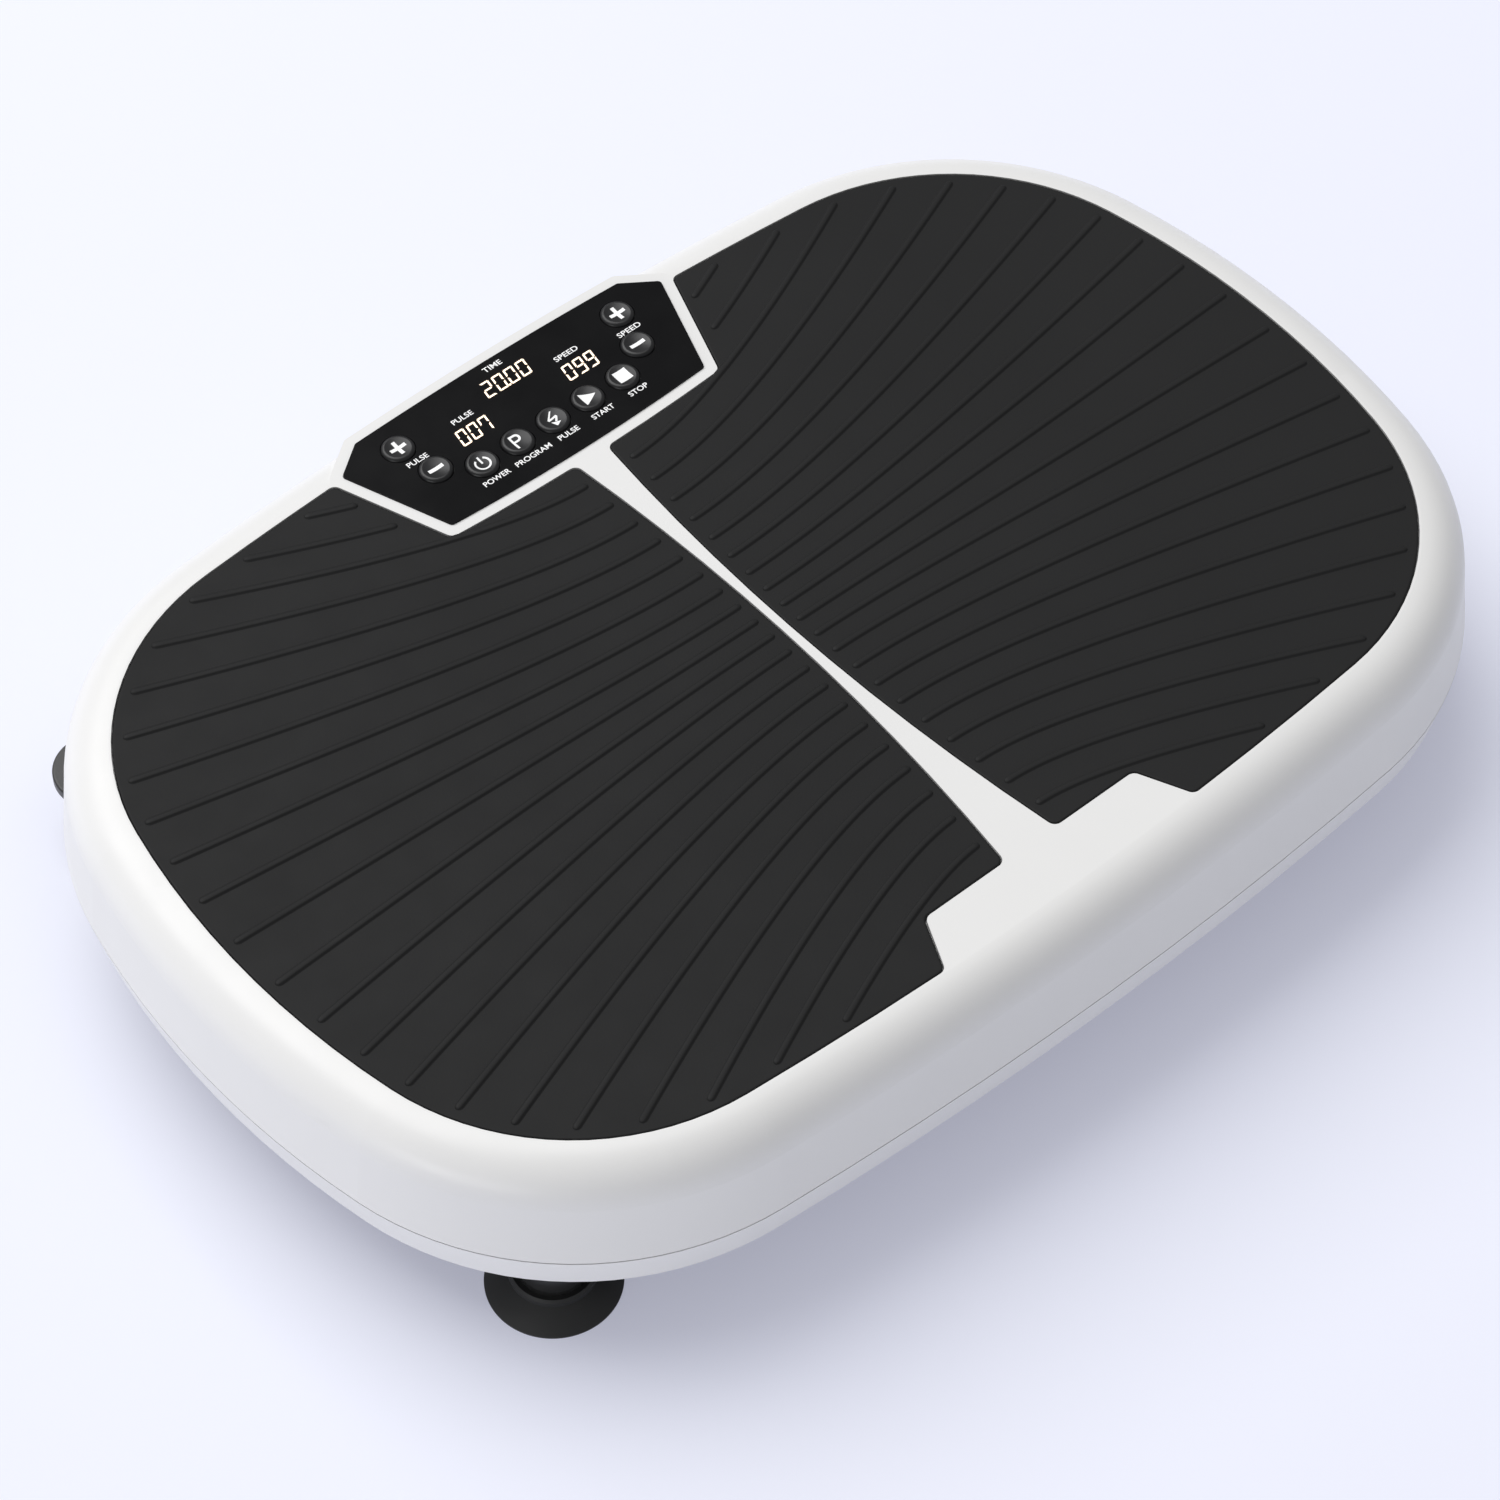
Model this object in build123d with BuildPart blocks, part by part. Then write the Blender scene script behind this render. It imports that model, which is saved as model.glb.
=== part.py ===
"""Slim oscillating vibration plate.

A white rocking deck (cover, trim, two foot mats, control panel and steel frame) turns a little
about a front-to-back pivot over a black base (tray, steel plate and four suction feet).  A motor
in the base drives an eccentric shaft through a belt, and a connecting rod lifts one side of the
deck.  +X is the long axis, +Y points to the control panel, +Z is up.  The origin is under the
middle of the overall box, on the floor.
"""
import os
from math import acos, atan2, cos, degrees, hypot, radians, sin, sqrt

from build123d import *

os.makedirs("parts", exist_ok=True)

# ---------------------------------------------------------------- driving dimensions (mm)
RIM_WIDTH = 22.0           # plan distance from the mats to the deck outline, the same all round

TOP_Z = 98.0               # flat top of the deck
PARTING_Z = 54.4           # seam between cover and lower trim
DECK_BOTTOM_Z = 38.4       # lower edge of the trim
SEAM = 0.6                 # open height of the seam
WALL = 3.0                 # moulded wall thickness
WALL_DRAFT = 6.3           # degrees, the wall above the seam leans inwards
TRIM_DRAFT = 11.5          # degrees, the trim below the seam leans inwards too
SHOULDER = 17.9            # fillet between the wall and the top

MAT_HALF_LENGTH = 245.0    # outer edge of the pair of mats
MAT_HALF_DEPTH = 160.1
MAT_CENTRE_Y = -1.3
MAT_END_RADIUS = 354.0     # plan radii: ends, corners, long sides
MAT_CORNER_RADIUS = 102.0
MAT_SIDE_RADIUS = 1700.0
MAT_THICKNESS = 2.4
MAT_GAP = 0.4              # open line around each mat
MAT_INNER_RADIUS = 940.0   # bulging inner edges, either side of the white centre strip
STRIP_HALF_WIDTH = 2.0     # narrowest half width of the centre strip
MAT_CORNER = 3.5           # small corner rounding
NOTCH_Y = -138.7           # white tab between the mats at the front edge
NOTCH_INNER_X = 50.4
NOTCH_OUTER_X = 63.0

RIB_COUNT = 11             # ribs in front of the middle of each mat, and as many behind it
RIB_WIDTH = 3.0
RIB_HEIGHT = 0.9
RIB_MARGIN = 4.0           # rib ends stop this far inside the outer edge of the mat
RIB_HUB_X = 100.0          # the outer ends lie on rays that leave from here

PANEL_TOP = (64.5, 168.0)      # corners of the control panel, right half (x, y)
PANEL_SHOULDER = (78.3, 158.0)
PANEL_FOOT = (61.8, 112.4)
PANEL_BOW = 1.4                # bow of its back edge
PANEL_THICKNESS = 2.0
PANEL_Z = 98.8                 # glossy surface
FRAME_Z = 99.6                 # top of the raised rim around the panel
FRAME_WIDTH = 4.8
FRAME_DRAFT = 14.0             # degrees, sides of the raised rim
PEDESTAL_DEPTH = 14.0          # block under the rim, which stands out of the back shoulder
PEDESTAL_DRAFT = 9.0
FRAME_CHAMFER = 0.5
PANEL_CORNER = 1.8             # corner radius of the glossy plate
PANEL_FIT = 0.15               # open line around the plate
BAY = [(60.0, 172.5), (80.0, 160.0), (80.0, 120.0)]    # room for the electronics, right half
PANEL_LEDGE = 4.0              # ledge that carries the edge of the panel
PANEL_BOSSES = [(x * side, y) for side in (-1, 1) for x, y in ((54.0, 121.0), (64.5, 150.0))]
BOSS_RADIUS = 2.6
BOSS_BORE = 1.2
BOARD_THICKNESS = 1.6

BUTTON_RADIUS = 6.7
BUTTON_TOP_Z = 100.0
BUTTON_GAP = 0.3
BUTTON_LIP = 1.5           # radius of the soft rim around the dished top
BUTTON_DISH = 0.7          # depth of the dish
BUTTON_FLANGE_WIDTH = 0.9
BUTTON_STOP_Z = 96.5       # flange top, just under the panel
BUTTON_FLANGE_Z = 95.2
BUTTON_STEM_Z = 94.4
BUTTON_STEM_RADIUS = 2.0
BUTTON_ROW_Y = 128.4
BUTTON_PITCH = 17.2
PLUS_AT = (53.9, 155.1)
MINUS_AT = (49.5, 137.6)
TIME_DISPLAY = (0.0, 157.0, 24.0, 10.0)      # x, y, width, depth
SIDE_DISPLAY = (26.0, 143.7, 18.0, 10.0)

POWER_X = 126.0            # pocket for the power inlet and switch in the back wall
POWER_Z = 65.0
POWER_LENGTH = 48.0
POWER_HEIGHT = 14.0
POWER_FACE_Y = 171.0
INLET_X = 137.0
SWITCH_X = 113.0
SOCKET_PITCH = 8.6
SOCKET_RADIUS = 3.7
SOCKET_DEPTH = 12.0
INLET_FLANGE = (24.0, 13.0)    # width and height
INLET_FLANGE_DEPTH = 1.6
INLET_BODY = (20.0, 10.0)
INLET_BODY_DEPTH = 16.0
CONTACT_RADIUS = 1.15
SWITCH_FLANGE = (18.0, 13.0)
SWITCH_FLANGE_DEPTH = 1.2
SWITCH_BODY = (14.0, 10.0)
SWITCH_BODY_DEPTH = 12.0
CUTOUT_FIT = 0.2               # room around the inlet and the switch, each side
ROCKER_PIVOT_Y = 168.5
ROCKER_RADIUS = 5.0
ROCKER_HALF_WIDTH = 5.0
ROCKER_GAP = 0.4
ROCKER_PIN_RADIUS = 1.0

FLANGE_TOP_Z = 57.5        # screw flange inside the lower trim
FLANGE_INSET = 20.0
POST_RADIUS = 4.0
POST_INSET = 14.0
POST_ANGLES = (-68, -42, -14, 14, 42)
FLANGE_THICKNESS = 2.5

FOOT_X = 206.2
FOOT_FRONT_Y = -119.5
FOOT_BACK_Y = 114.3
CUP_RADIUS = 25.0
CUP_RISE = 7.0             # height of the cup's skirt
CUP_COLLAR_RADIUS = 16.4
CUP_COLLAR_TOP = 10.0
SPACER_RADIUS = 13.8
BOLT_RADIUS = 4.0          # foot bolts, M8

TRAY_BOTTOM_Z = 29.0
TRAY_INSET = 9.0           # tray edge inside the deck outline
TRAY_RIM_Z = 43.0
PLATE_INSET = 20.0         # steel base plate inside the deck outline
PLATE_THICKNESS = 3.0
VENT_PITCH = 14.0          # cooling slots through tray and plate
VENT_LENGTH = 26.0
VENT_WIDTH = 3.0
VENT_COLUMNS = 12
VENT_ROW_PITCH = 120.0
ANCHOR_AT = (203.5, 154.5)     # band anchor eye, right one (x, y)
ANCHOR_ROOT = (167.0, 114.0)   # other end of the anchor's tongue
ANCHOR_RADIUS = 17.0
ANCHOR_THICKNESS = 5.0
ANCHOR_EYE_RADIUS = 6.0

PIVOT_Z = 62.0             # rocking axis, along Y at x = 0
PIVOT_RADIUS = 6.0
RUNNING_GAP = 0.05         # radial clearance of every running fit
RAIL_FRONT_Y = -118.0      # centre lines of the two long deck rails
RAIL_BACK_Y = 92.0
RAIL_HALF_LENGTH = 185.0
TUBE_WIDTH = 25.0
TUBE_HEIGHT = 15.0
TUBE_WALL = 1.5
TUBE_CORNER = 2.0

CROSS_MEMBERS = {"left_cross_member": -165.0, "inner_cross_member": 88.0, "outer_cross_member": 152.0}
HANGER_RADIUS = 12.0       # round end of the hangers and brackets
HANGER_THICKNESS = 8.0
HANGER_HALF_TOP = 20.0
BUSH_RADIUS = 8.0
CHEEK_THICKNESS = 3.0      # sheet of the pivot brackets and the bearing block feet
CHEEK_GAP = 1.0
CHEEK_HALF_FOOT = 22.0
BRACKET_DEPTH = 34.0
BRACKET_MARGIN = 7.0       # foot of a bracket beyond its screws
BUFFERS = [(-165.0, -80.0), (-165.0, 55.0), (152.0, -80.0), (152.0, 62.0)]
BUFFER_TOP_Z = 73.2
BUFFER_RADIUS = 9.0

CRANK_X = 120.0            # eccentric shaft, along Y
CRANK_Z = 54.0
CRANK_RADIUS = 5.0
THROW = 2.5                # eccentric offset
ECCENTRIC_RADIUS = 9.0
ROD_RING_RADIUS = 15.0
ROD_HALF_WIDTH = 6.0
ROD_PIN_Z = 74.0
ROD_PIN_RADIUS = 3.0
ROD_PIN_HEAD = 1.5
EAR_RADIUS = 6.5           # ears that hold the rod pin
EAR_THICKNESS = 3.0
EAR_YS = (-11.0, 8.0)      # front faces of the ears
ROD_BOX_DEPTH = 22.0
ROD_EYE_CLEARANCE = 5.5    # the eye is open around the pin by this much
PULLEY_Y = 45.0            # belt plane
PULLEY_WIDTH = 10.0
PULLEY_LIP = 2.0           # height of the side flanges, 1 mm thick
CRANK_PULLEY_RADIUS = 16.0
MOTOR_PULLEY_RADIUS = 8.0
BELT_THICKNESS = 1.6
BELT_GAP = 0.3

BEARING_RADIUS = 9.5
BEARING_WIDTH = 8.0
BLOCK_THICKNESS = 12.0
BLOCK_WALL = 4.5
BLOCK_YS = (-27.0, 15.0)   # front faces of the bearing blocks
BLOCK_SCREW_X = 22.0
BLOCK_MARGIN = 6.0
BLOCK_SCREWS = [(CRANK_X + x, y) for x in (-BLOCK_SCREW_X, BLOCK_SCREW_X) for y in (-21, 21)]
BRACKET_SCREW_X = 30.0
BRACKET_SCREWS = [(x, y) for x in (-BRACKET_SCREW_X, BRACKET_SCREW_X) for y in (RAIL_FRONT_Y, RAIL_BACK_Y)]
BASE_SCREWS = BLOCK_SCREWS + BRACKET_SCREWS
BASE_SCREW_RADIUS = 2.5
NUT_SIZE = 4.0             # half width across flats
NUT_HEIGHT = 3.0

BOARD_X = -135.0           # driver board
BOARD_Y = -12.0
BOARD_LENGTH = 76.0
BOARD_WIDTH = 100.0
STANDOFF_HEIGHT = 8.0
STANDOFF_INSET = 5.0
COMPONENT_X = 20.0         # components stand in two rows, left and right of the middle
COMPONENT_HEIGHT = 20.0
CAPACITOR_RADIUS = 8.0
CAPACITOR_HEIGHT = 22.0

MOTOR_X = -62.0
MOTOR_Z = 63.0
MOTOR_RADIUS = 25.0
MOTOR_FRONT_Y = -62.0
MOTOR_BACK_Y = 34.0
MOTOR_SHAFT_RADIUS = 4.0
MOTOR_WALL = 2.0
MOTOR_CAP_DEPTH = 4.0
ROTOR_GAP = 2.0            # air between rotor and housing
ROTOR_OFFSET = 8.0         # rotor starts this far behind the front face
ROTOR_LENGTH = 70.0
SADDLE_YS = (-52.0, 12.0)  # front faces of the two motor saddles
SADDLE_THICKNESS = 12.0
SADDLE_HEIGHT = 18.0

SCREW_RADIUS = 1.6         # small self-tapping screws
SCREW_LENGTH = 12.0
SCREW_HEAD = 2.0
EPS = 1.0                  # overrun of a cut past the face it starts from

# ---------------------------------------------------------------- worked-out levels
PLATE_Z = TRAY_BOTTOM_Z + WALL                     # underside of the steel base plate
PLATE_TOP_Z = PLATE_Z + PLATE_THICKNESS
MAT_Z = TOP_Z - MAT_THICKNESS                      # floor of the mat recess
CEILING_Z = MAT_Z - WALL                           # underside of the cover
RAIL_Z = CEILING_Z - TUBE_HEIGHT / 2               # centre of the deck tubes
COVER_BOTTOM_Z = PARTING_Z + SEAM / 2
PANEL_UNDER_Z = PANEL_Z - PANEL_THICKNESS
BOARD_TOP_Z = PANEL_UNDER_Z - 5.2                  # control board, hung under the panel
FEET = {
    "front_left": (-FOOT_X, FOOT_FRONT_Y),
    "front_right": (FOOT_X, FOOT_FRONT_Y),
    "back_left": (-FOOT_X, FOOT_BACK_Y),
    "back_right": (FOOT_X, FOOT_BACK_Y),
}
BUTTONS = {
    "power_button": (-2 * BUTTON_PITCH, BUTTON_ROW_Y),
    "program_button": (-BUTTON_PITCH, BUTTON_ROW_Y),
    "pulse_button": (0.0, BUTTON_ROW_Y),
    "start_button": (BUTTON_PITCH, BUTTON_ROW_Y),
    "stop_button": (2 * BUTTON_PITCH, BUTTON_ROW_Y),
    "pulse_plus_button": (-PLUS_AT[0], PLUS_AT[1]),
    "pulse_minus_button": (-MINUS_AT[0], MINUS_AT[1]),
    "speed_plus_button": PLUS_AT,
    "speed_minus_button": MINUS_AT,
}

# outline = half length, half depth, centre y, end radius, corner radius, side radius
MAT_OUTLINE = (MAT_HALF_LENGTH, MAT_HALF_DEPTH, MAT_CENTRE_Y, MAT_END_RADIUS, MAT_CORNER_RADIUS,
               MAT_SIDE_RADIUS)
DECK_OUTLINE = (MAT_HALF_LENGTH + RIM_WIDTH, MAT_HALF_DEPTH + RIM_WIDTH, MAT_CENTRE_Y,
                MAT_END_RADIUS + RIM_WIDTH, MAT_CORNER_RADIUS + RIM_WIDTH, MAT_SIDE_RADIUS + RIM_WIDTH)


# ---------------------------------------------------------------- shared shapes
def keep(builder, name):
    """Label a finished piece and write it to its own file."""
    builder.part.label = name
    export_step(builder.part, f"parts/{name}.step")


def corner_centre(outline):
    """Centre of the corner arc that is tangent to the end arc and the side arc."""
    half_length, half_depth, _, end_radius, corner_radius, side_radius = outline
    end_x = half_length - end_radius
    side_y = half_depth - side_radius
    to_end = end_radius - corner_radius
    to_side = side_radius - corner_radius
    apart = hypot(end_x, side_y)
    along = (to_side**2 - to_end**2 + apart**2) / (2 * apart)
    aside = sqrt(to_side**2 - along**2)
    unit_x, unit_y = end_x / apart, -side_y / apart
    return along * unit_x + aside * unit_y, side_y + along * unit_y - aside * unit_x


def oval(outline, inset=0.0):
    """Face of eight tangent arcs: two ends, four corners and two long sides."""
    half_length, half_depth, centre_y, end_radius, corner_radius, side_radius = outline
    end_x = half_length - end_radius
    side_y = half_depth - side_radius
    corner_x, corner_y = corner_centre(outline)
    low = degrees(atan2(corner_y, corner_x - end_x))
    high = degrees(atan2(corner_y - side_y, corner_x))
    with BuildLine() as edge:
        for turn in (0, 180):
            sign = 1 if turn == 0 else -1
            CenterArc((sign * end_x, centre_y), end_radius - inset, turn - low, 2 * low)
            CenterArc((0, centre_y + sign * side_y), side_radius - inset, turn + high, 180 - 2 * high)
            CenterArc((sign * corner_x, centre_y + sign * corner_y), corner_radius - inset,
                      turn + low, high - low)
            CenterArc((sign * corner_x, centre_y - sign * corner_y), corner_radius - inset,
                      turn - high, high - low)
    make_face(edge.edges())


def oval_cut(outline, inset):
    """Open up the sketch being built by an inset oval."""
    with BuildSketch(mode=Mode.PRIVATE) as inner:
        oval(outline, inset)
    add(inner.sketch, mode=Mode.SUBTRACT)


def panel_face(grow=0.0, corner=0.0, mode=Mode.ADD):
    """Six-sided face of the control panel, grown outwards by a margin, with rounded corners."""
    foot_left = (-PANEL_FOOT[0], PANEL_FOOT[1])
    top_left = (-PANEL_TOP[0], PANEL_TOP[1])
    with BuildLine() as edge:
        ThreePointArc(top_left, (0, PANEL_TOP[1] + PANEL_BOW), PANEL_TOP)
        Polyline(PANEL_TOP, PANEL_SHOULDER, PANEL_FOOT)
        ThreePointArc(PANEL_FOOT, (0, PANEL_FOOT[1] - 1.5 * PANEL_BOW), foot_left)
        Polyline(foot_left, (-PANEL_SHOULDER[0], PANEL_SHOULDER[1]), top_left)
    face = make_face(edge.edges(), mode=Mode.PRIVATE).face()
    if grow:
        face = offset(face, amount=grow, kind=Kind.INTERSECTION, mode=Mode.PRIVATE).face()
    if corner:
        face = face.fillet_2d(corner, face.vertices())
    add(face, mode=mode)


def mat_face(side, grow=0.0):
    """Face of one mat: side is -1 for the left mat and 1 for the right one."""
    below = MAT_CENTRE_Y - MAT_HALF_DEPTH - 5
    oval(MAT_OUTLINE, -grow)
    with Locations((side * (STRIP_HALF_WIDTH - grow + MAT_INNER_RADIUS), 0)):
        Circle(MAT_INNER_RADIUS, mode=Mode.INTERSECT)
    Polygon((0, NOTCH_Y - grow), (side * (NOTCH_INNER_X - grow), NOTCH_Y - grow),
            (side * (NOTCH_OUTER_X - grow), below), (0, below), align=None, mode=Mode.SUBTRACT)
    panel_face(FRAME_WIDTH + MAT_GAP - grow, mode=Mode.SUBTRACT)


def sharp_corners(sketch):
    """Corners of a mat face that are rounded off: all those near the middle of the deck."""
    return sketch.vertices().filter_by(lambda corner: abs(corner.X) < 100)


def rim_point(outline, inset, hub_x, angle):
    """Point where a ray from (hub_x, centre) at an angle in degrees meets the inset outline."""
    half_length, half_depth, centre_y, end_radius, corner_radius, side_radius = outline
    corner_x, corner_y = corner_centre(outline)
    ray_x, ray_y = cos(radians(angle)), sin(radians(angle))

    def hit(circle_x, circle_y, radius):
        to_x, to_y = hub_x - circle_x, -circle_y
        half_b = to_x * ray_x + to_y * ray_y
        reach = sqrt(half_b**2 - to_x**2 - to_y**2 + radius**2) - half_b
        return hub_x + reach * ray_x, reach * ray_y

    end_x, side_y = half_length - end_radius, half_depth - side_radius
    on_end = hit(end_x, 0, end_radius - inset)
    on_side = hit(0, side_y, side_radius - inset)
    if atan2(on_end[1], on_end[0] - end_x) <= atan2(corner_y, corner_x - end_x):
        point = on_end
    elif atan2(on_side[1] - side_y, on_side[0]) >= atan2(corner_y - side_y, corner_x):
        point = on_side
    else:
        point = hit(corner_x, corner_y, corner_radius - inset)
    return point[0], point[1] + centre_y


def rib_points(index):
    """Start, pull and end point of the curve of one grip rib of the right mat, back half.

    The ribs leave the centre strip parallel to X and fan out to the edge of the mat.
    """
    step = index + 0.5
    start_y = 9.1 * step + 0.27 * step**2
    start_x = STRIP_HALF_WIDTH + 3.5 + start_y**2 / (2 * MAT_INNER_RADIUS)
    fan_angle = 10.0 * step - 0.61 * step**2 + 0.0447 * step**3
    end_x, end_y = rim_point(MAT_OUTLINE, RIB_MARGIN, RIB_HUB_X, fan_angle)
    start_y += MAT_CENTRE_Y
    return (start_x, start_y), (start_x + 0.29 * (end_x - start_x), start_y), (end_x, end_y)


def belt_loop(grow, mode=Mode.ADD):
    """Face inside a loop around both pulleys: two arcs and their outer tangents."""
    large, small = CRANK_PULLEY_RADIUS + grow, MOTOR_PULLEY_RADIUS + grow
    apart = hypot(MOTOR_X - CRANK_X, MOTOR_Z - CRANK_Z)
    toward = degrees(atan2(MOTOR_Z - CRANK_Z, MOTOR_X - CRANK_X))
    spread = degrees(acos((large - small) / apart))
    with BuildLine() as edge:
        on_large = CenterArc((CRANK_X, CRANK_Z), large, toward + spread, 360 - 2 * spread)
        on_small = CenterArc((MOTOR_X, MOTOR_Z), small, toward - spread, 2 * spread)
        Line(on_large @ 1, on_small @ 0)
        Line(on_small @ 1, on_large @ 0)
    make_face(edge.edges(), mode=mode)


def post_at(side, angle):
    """Place of a screw post inside the deck wall; negative angles are in the front half."""
    x, y = rim_point(DECK_OUTLINE, POST_INSET, 0, abs(angle))
    return side * x, y if angle > 0 else 2 * MAT_CENTRE_Y - y


TRIM_POSTS = [post_at(side, angle) for side in (-1, 1) for angle in POST_ANGLES]

# ---------------------------------------------------------------- deck shell
with BuildPart() as panel_pedestal:
    with BuildSketch(Plane.XY.offset(TOP_Z)):
        panel_face(FRAME_WIDTH, MAT_CORNER)
    extrude(amount=FRAME_Z - TOP_Z, taper=FRAME_DRAFT)
    chamfer(panel_pedestal.edges().group_by(Axis.Z)[-1], length=FRAME_CHAMFER)
    with BuildSketch(Plane.XY.offset(TOP_Z)):
        panel_face(FRAME_WIDTH, MAT_CORNER)
    extrude(amount=-PEDESTAL_DEPTH, taper=-PEDESTAL_DRAFT)

with BuildPart() as cover_hollow:
    with BuildSketch(Plane.XY.offset(COVER_BOTTOM_Z - EPS)):
        oval(DECK_OUTLINE, WALL)
    extrude(amount=CEILING_Z - COVER_BOTTOM_Z + EPS, taper=WALL_DRAFT)
    fillet(cover_hollow.edges().group_by(Axis.Z)[-1], radius=SHOULDER - WALL)
    with BuildSketch(Plane.XY.offset(COVER_BOTTOM_Z - EPS)):
        Polygon(*BAY, *[(-x, y) for x, y in reversed(BAY)], align=None)
    extrude(amount=BOARD_TOP_Z - COVER_BOTTOM_Z)

with BuildPart() as top_cover:
    with BuildSketch(Plane.XY.offset(COVER_BOTTOM_Z)):
        oval(DECK_OUTLINE)
    extrude(amount=TOP_Z - COVER_BOTTOM_Z, taper=WALL_DRAFT)
    fillet(top_cover.edges().group_by(Axis.Z)[-1], radius=SHOULDER)
    add(panel_pedestal.part)
    add(cover_hollow.part, mode=Mode.SUBTRACT)
    # recesses for the mats
    for side in (-1, 1):
        with BuildSketch(Plane.XY.offset(MAT_Z)) as recess:
            mat_face(side, MAT_GAP)
            fillet(sharp_corners(recess), radius=MAT_CORNER)
        extrude(amount=MAT_THICKNESS + EPS, mode=Mode.SUBTRACT)
    # pocket for the panel, with a window under it
    with BuildSketch(Plane.XY.offset(PANEL_UNDER_Z)):
        panel_face(PANEL_FIT, PANEL_CORNER)
    extrude(amount=PANEL_THICKNESS + EPS, mode=Mode.SUBTRACT)
    with BuildSketch(Plane.XY.offset(BOARD_TOP_Z - 10)):
        panel_face(-PANEL_LEDGE)
    extrude(amount=PANEL_UNDER_Z - BOARD_TOP_Z + 10 + EPS, mode=Mode.SUBTRACT)
    # posts for the trim screws
    with BuildSketch(Plane.XY.offset(FLANGE_TOP_Z)):
        with Locations(*TRIM_POSTS):
            Circle(POST_RADIUS)
    extrude(amount=CEILING_Z + 0.5 - FLANGE_TOP_Z)
    with BuildSketch(Plane.XY.offset(FLANGE_TOP_Z)):
        with Locations(*TRIM_POSTS):
            Circle(SCREW_RADIUS)
    extrude(amount=SCREW_LENGTH + EPS, mode=Mode.SUBTRACT)
    # thick back wall with a pocket and two cut-outs for the inlet and the switch
    with BuildSketch(Plane.XY.offset(FLANGE_TOP_Z + 0.2)):
        with Locations((POWER_X, POWER_FACE_Y)):
            Rectangle(POWER_LENGTH + 6, 5, align=(Align.CENTER, Align.MAX))
    extrude(amount=POWER_HEIGHT + 4)
    with BuildSketch(Plane.XZ.offset(-POWER_FACE_Y)):
        with Locations((POWER_X, POWER_Z)):
            RectangleRounded(POWER_LENGTH, POWER_HEIGHT, 2)
    extrude(amount=-12, mode=Mode.SUBTRACT)
    with BuildSketch(Plane.XZ.offset(-POWER_FACE_Y)):
        with Locations((INLET_X, POWER_Z)):
            RectangleRounded(INLET_BODY[0] + 2 * CUTOUT_FIT, INLET_BODY[1] + 2 * CUTOUT_FIT, 2)
        with Locations((SWITCH_X, POWER_Z)):
            Rectangle(SWITCH_BODY[0] + 2 * CUTOUT_FIT, SWITCH_BODY[1] + 2 * CUTOUT_FIT)
    extrude(amount=8, mode=Mode.SUBTRACT)
keep(top_cover, "top_cover")

with BuildPart() as lower_trim:
    with BuildSketch(Plane.XY.offset(PARTING_Z - SEAM / 2)):
        oval(DECK_OUTLINE)
    extrude(amount=DECK_BOTTOM_Z - PARTING_Z + SEAM / 2, taper=TRIM_DRAFT)
    with BuildSketch(Plane.XY.offset(DECK_BOTTOM_Z - EPS)):
        oval(DECK_OUTLINE, WALL + 2)
    extrude(amount=PARTING_Z - DECK_BOTTOM_Z + EPS, mode=Mode.SUBTRACT)
    # tongue behind the seam, and the flange that the screws pass through
    with BuildSketch(Plane.XY.offset(PARTING_Z - 5)):
        oval(DECK_OUTLINE, WALL + 0.5)
        oval_cut(DECK_OUTLINE, WALL + 2.5)
    extrude(amount=FLANGE_TOP_Z - PARTING_Z + 5)
    with BuildSketch(Plane.XY.offset(FLANGE_TOP_Z - FLANGE_THICKNESS)):
        oval(DECK_OUTLINE, WALL + 2)
        oval_cut(DECK_OUTLINE, FLANGE_INSET)
        with Locations(*TRIM_POSTS):
            Circle(SCREW_RADIUS + 0.2, mode=Mode.SUBTRACT)
    extrude(amount=FLANGE_THICKNESS)
keep(lower_trim, "lower_trim")

with BuildPart() as trim_screws:
    with BuildSketch(Plane.XY.offset(FLANGE_TOP_Z - FLANGE_THICKNESS - SCREW_HEAD)):
        with Locations(*TRIM_POSTS):
            Circle(2 * SCREW_RADIUS)
    extrude(amount=SCREW_HEAD)
    with BuildSketch(Plane.XY.offset(FLANGE_TOP_Z - FLANGE_THICKNESS)):
        with Locations(*TRIM_POSTS):
            Circle(SCREW_RADIUS)
    extrude(amount=SCREW_LENGTH)
keep(trim_screws, "trim_screws")

# ---------------------------------------------------------------- foot mats
for side, name in ((-1, "left_mat"), (1, "right_mat")):
    with BuildPart() as mat:
        with BuildSketch(Plane.XY.offset(MAT_Z)) as outline:
            mat_face(side)
            fillet(sharp_corners(outline), radius=MAT_CORNER)
        extrude(amount=MAT_THICKNESS)
        with BuildSketch(Plane.XY.offset(TOP_Z - EPS)):
            for end in (-1, 1):
                for index in range(RIB_COUNT):
                    points = rib_points(index)
                    turned = [(side * x, MAT_CENTRE_Y + end * (y - MAT_CENTRE_Y)) for x, y in points]
                    with BuildLine() as path:
                        Bezier(*turned)
                    trace(path.edges(), line_width=RIB_WIDTH)
                    with Locations(turned[0], turned[-1]):
                        Circle(RIB_WIDTH / 2)
            panel_face(FRAME_WIDTH + 3.5, mode=Mode.SUBTRACT)
        extrude(amount=RIB_HEIGHT + EPS)
    keep(mat, name)

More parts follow.
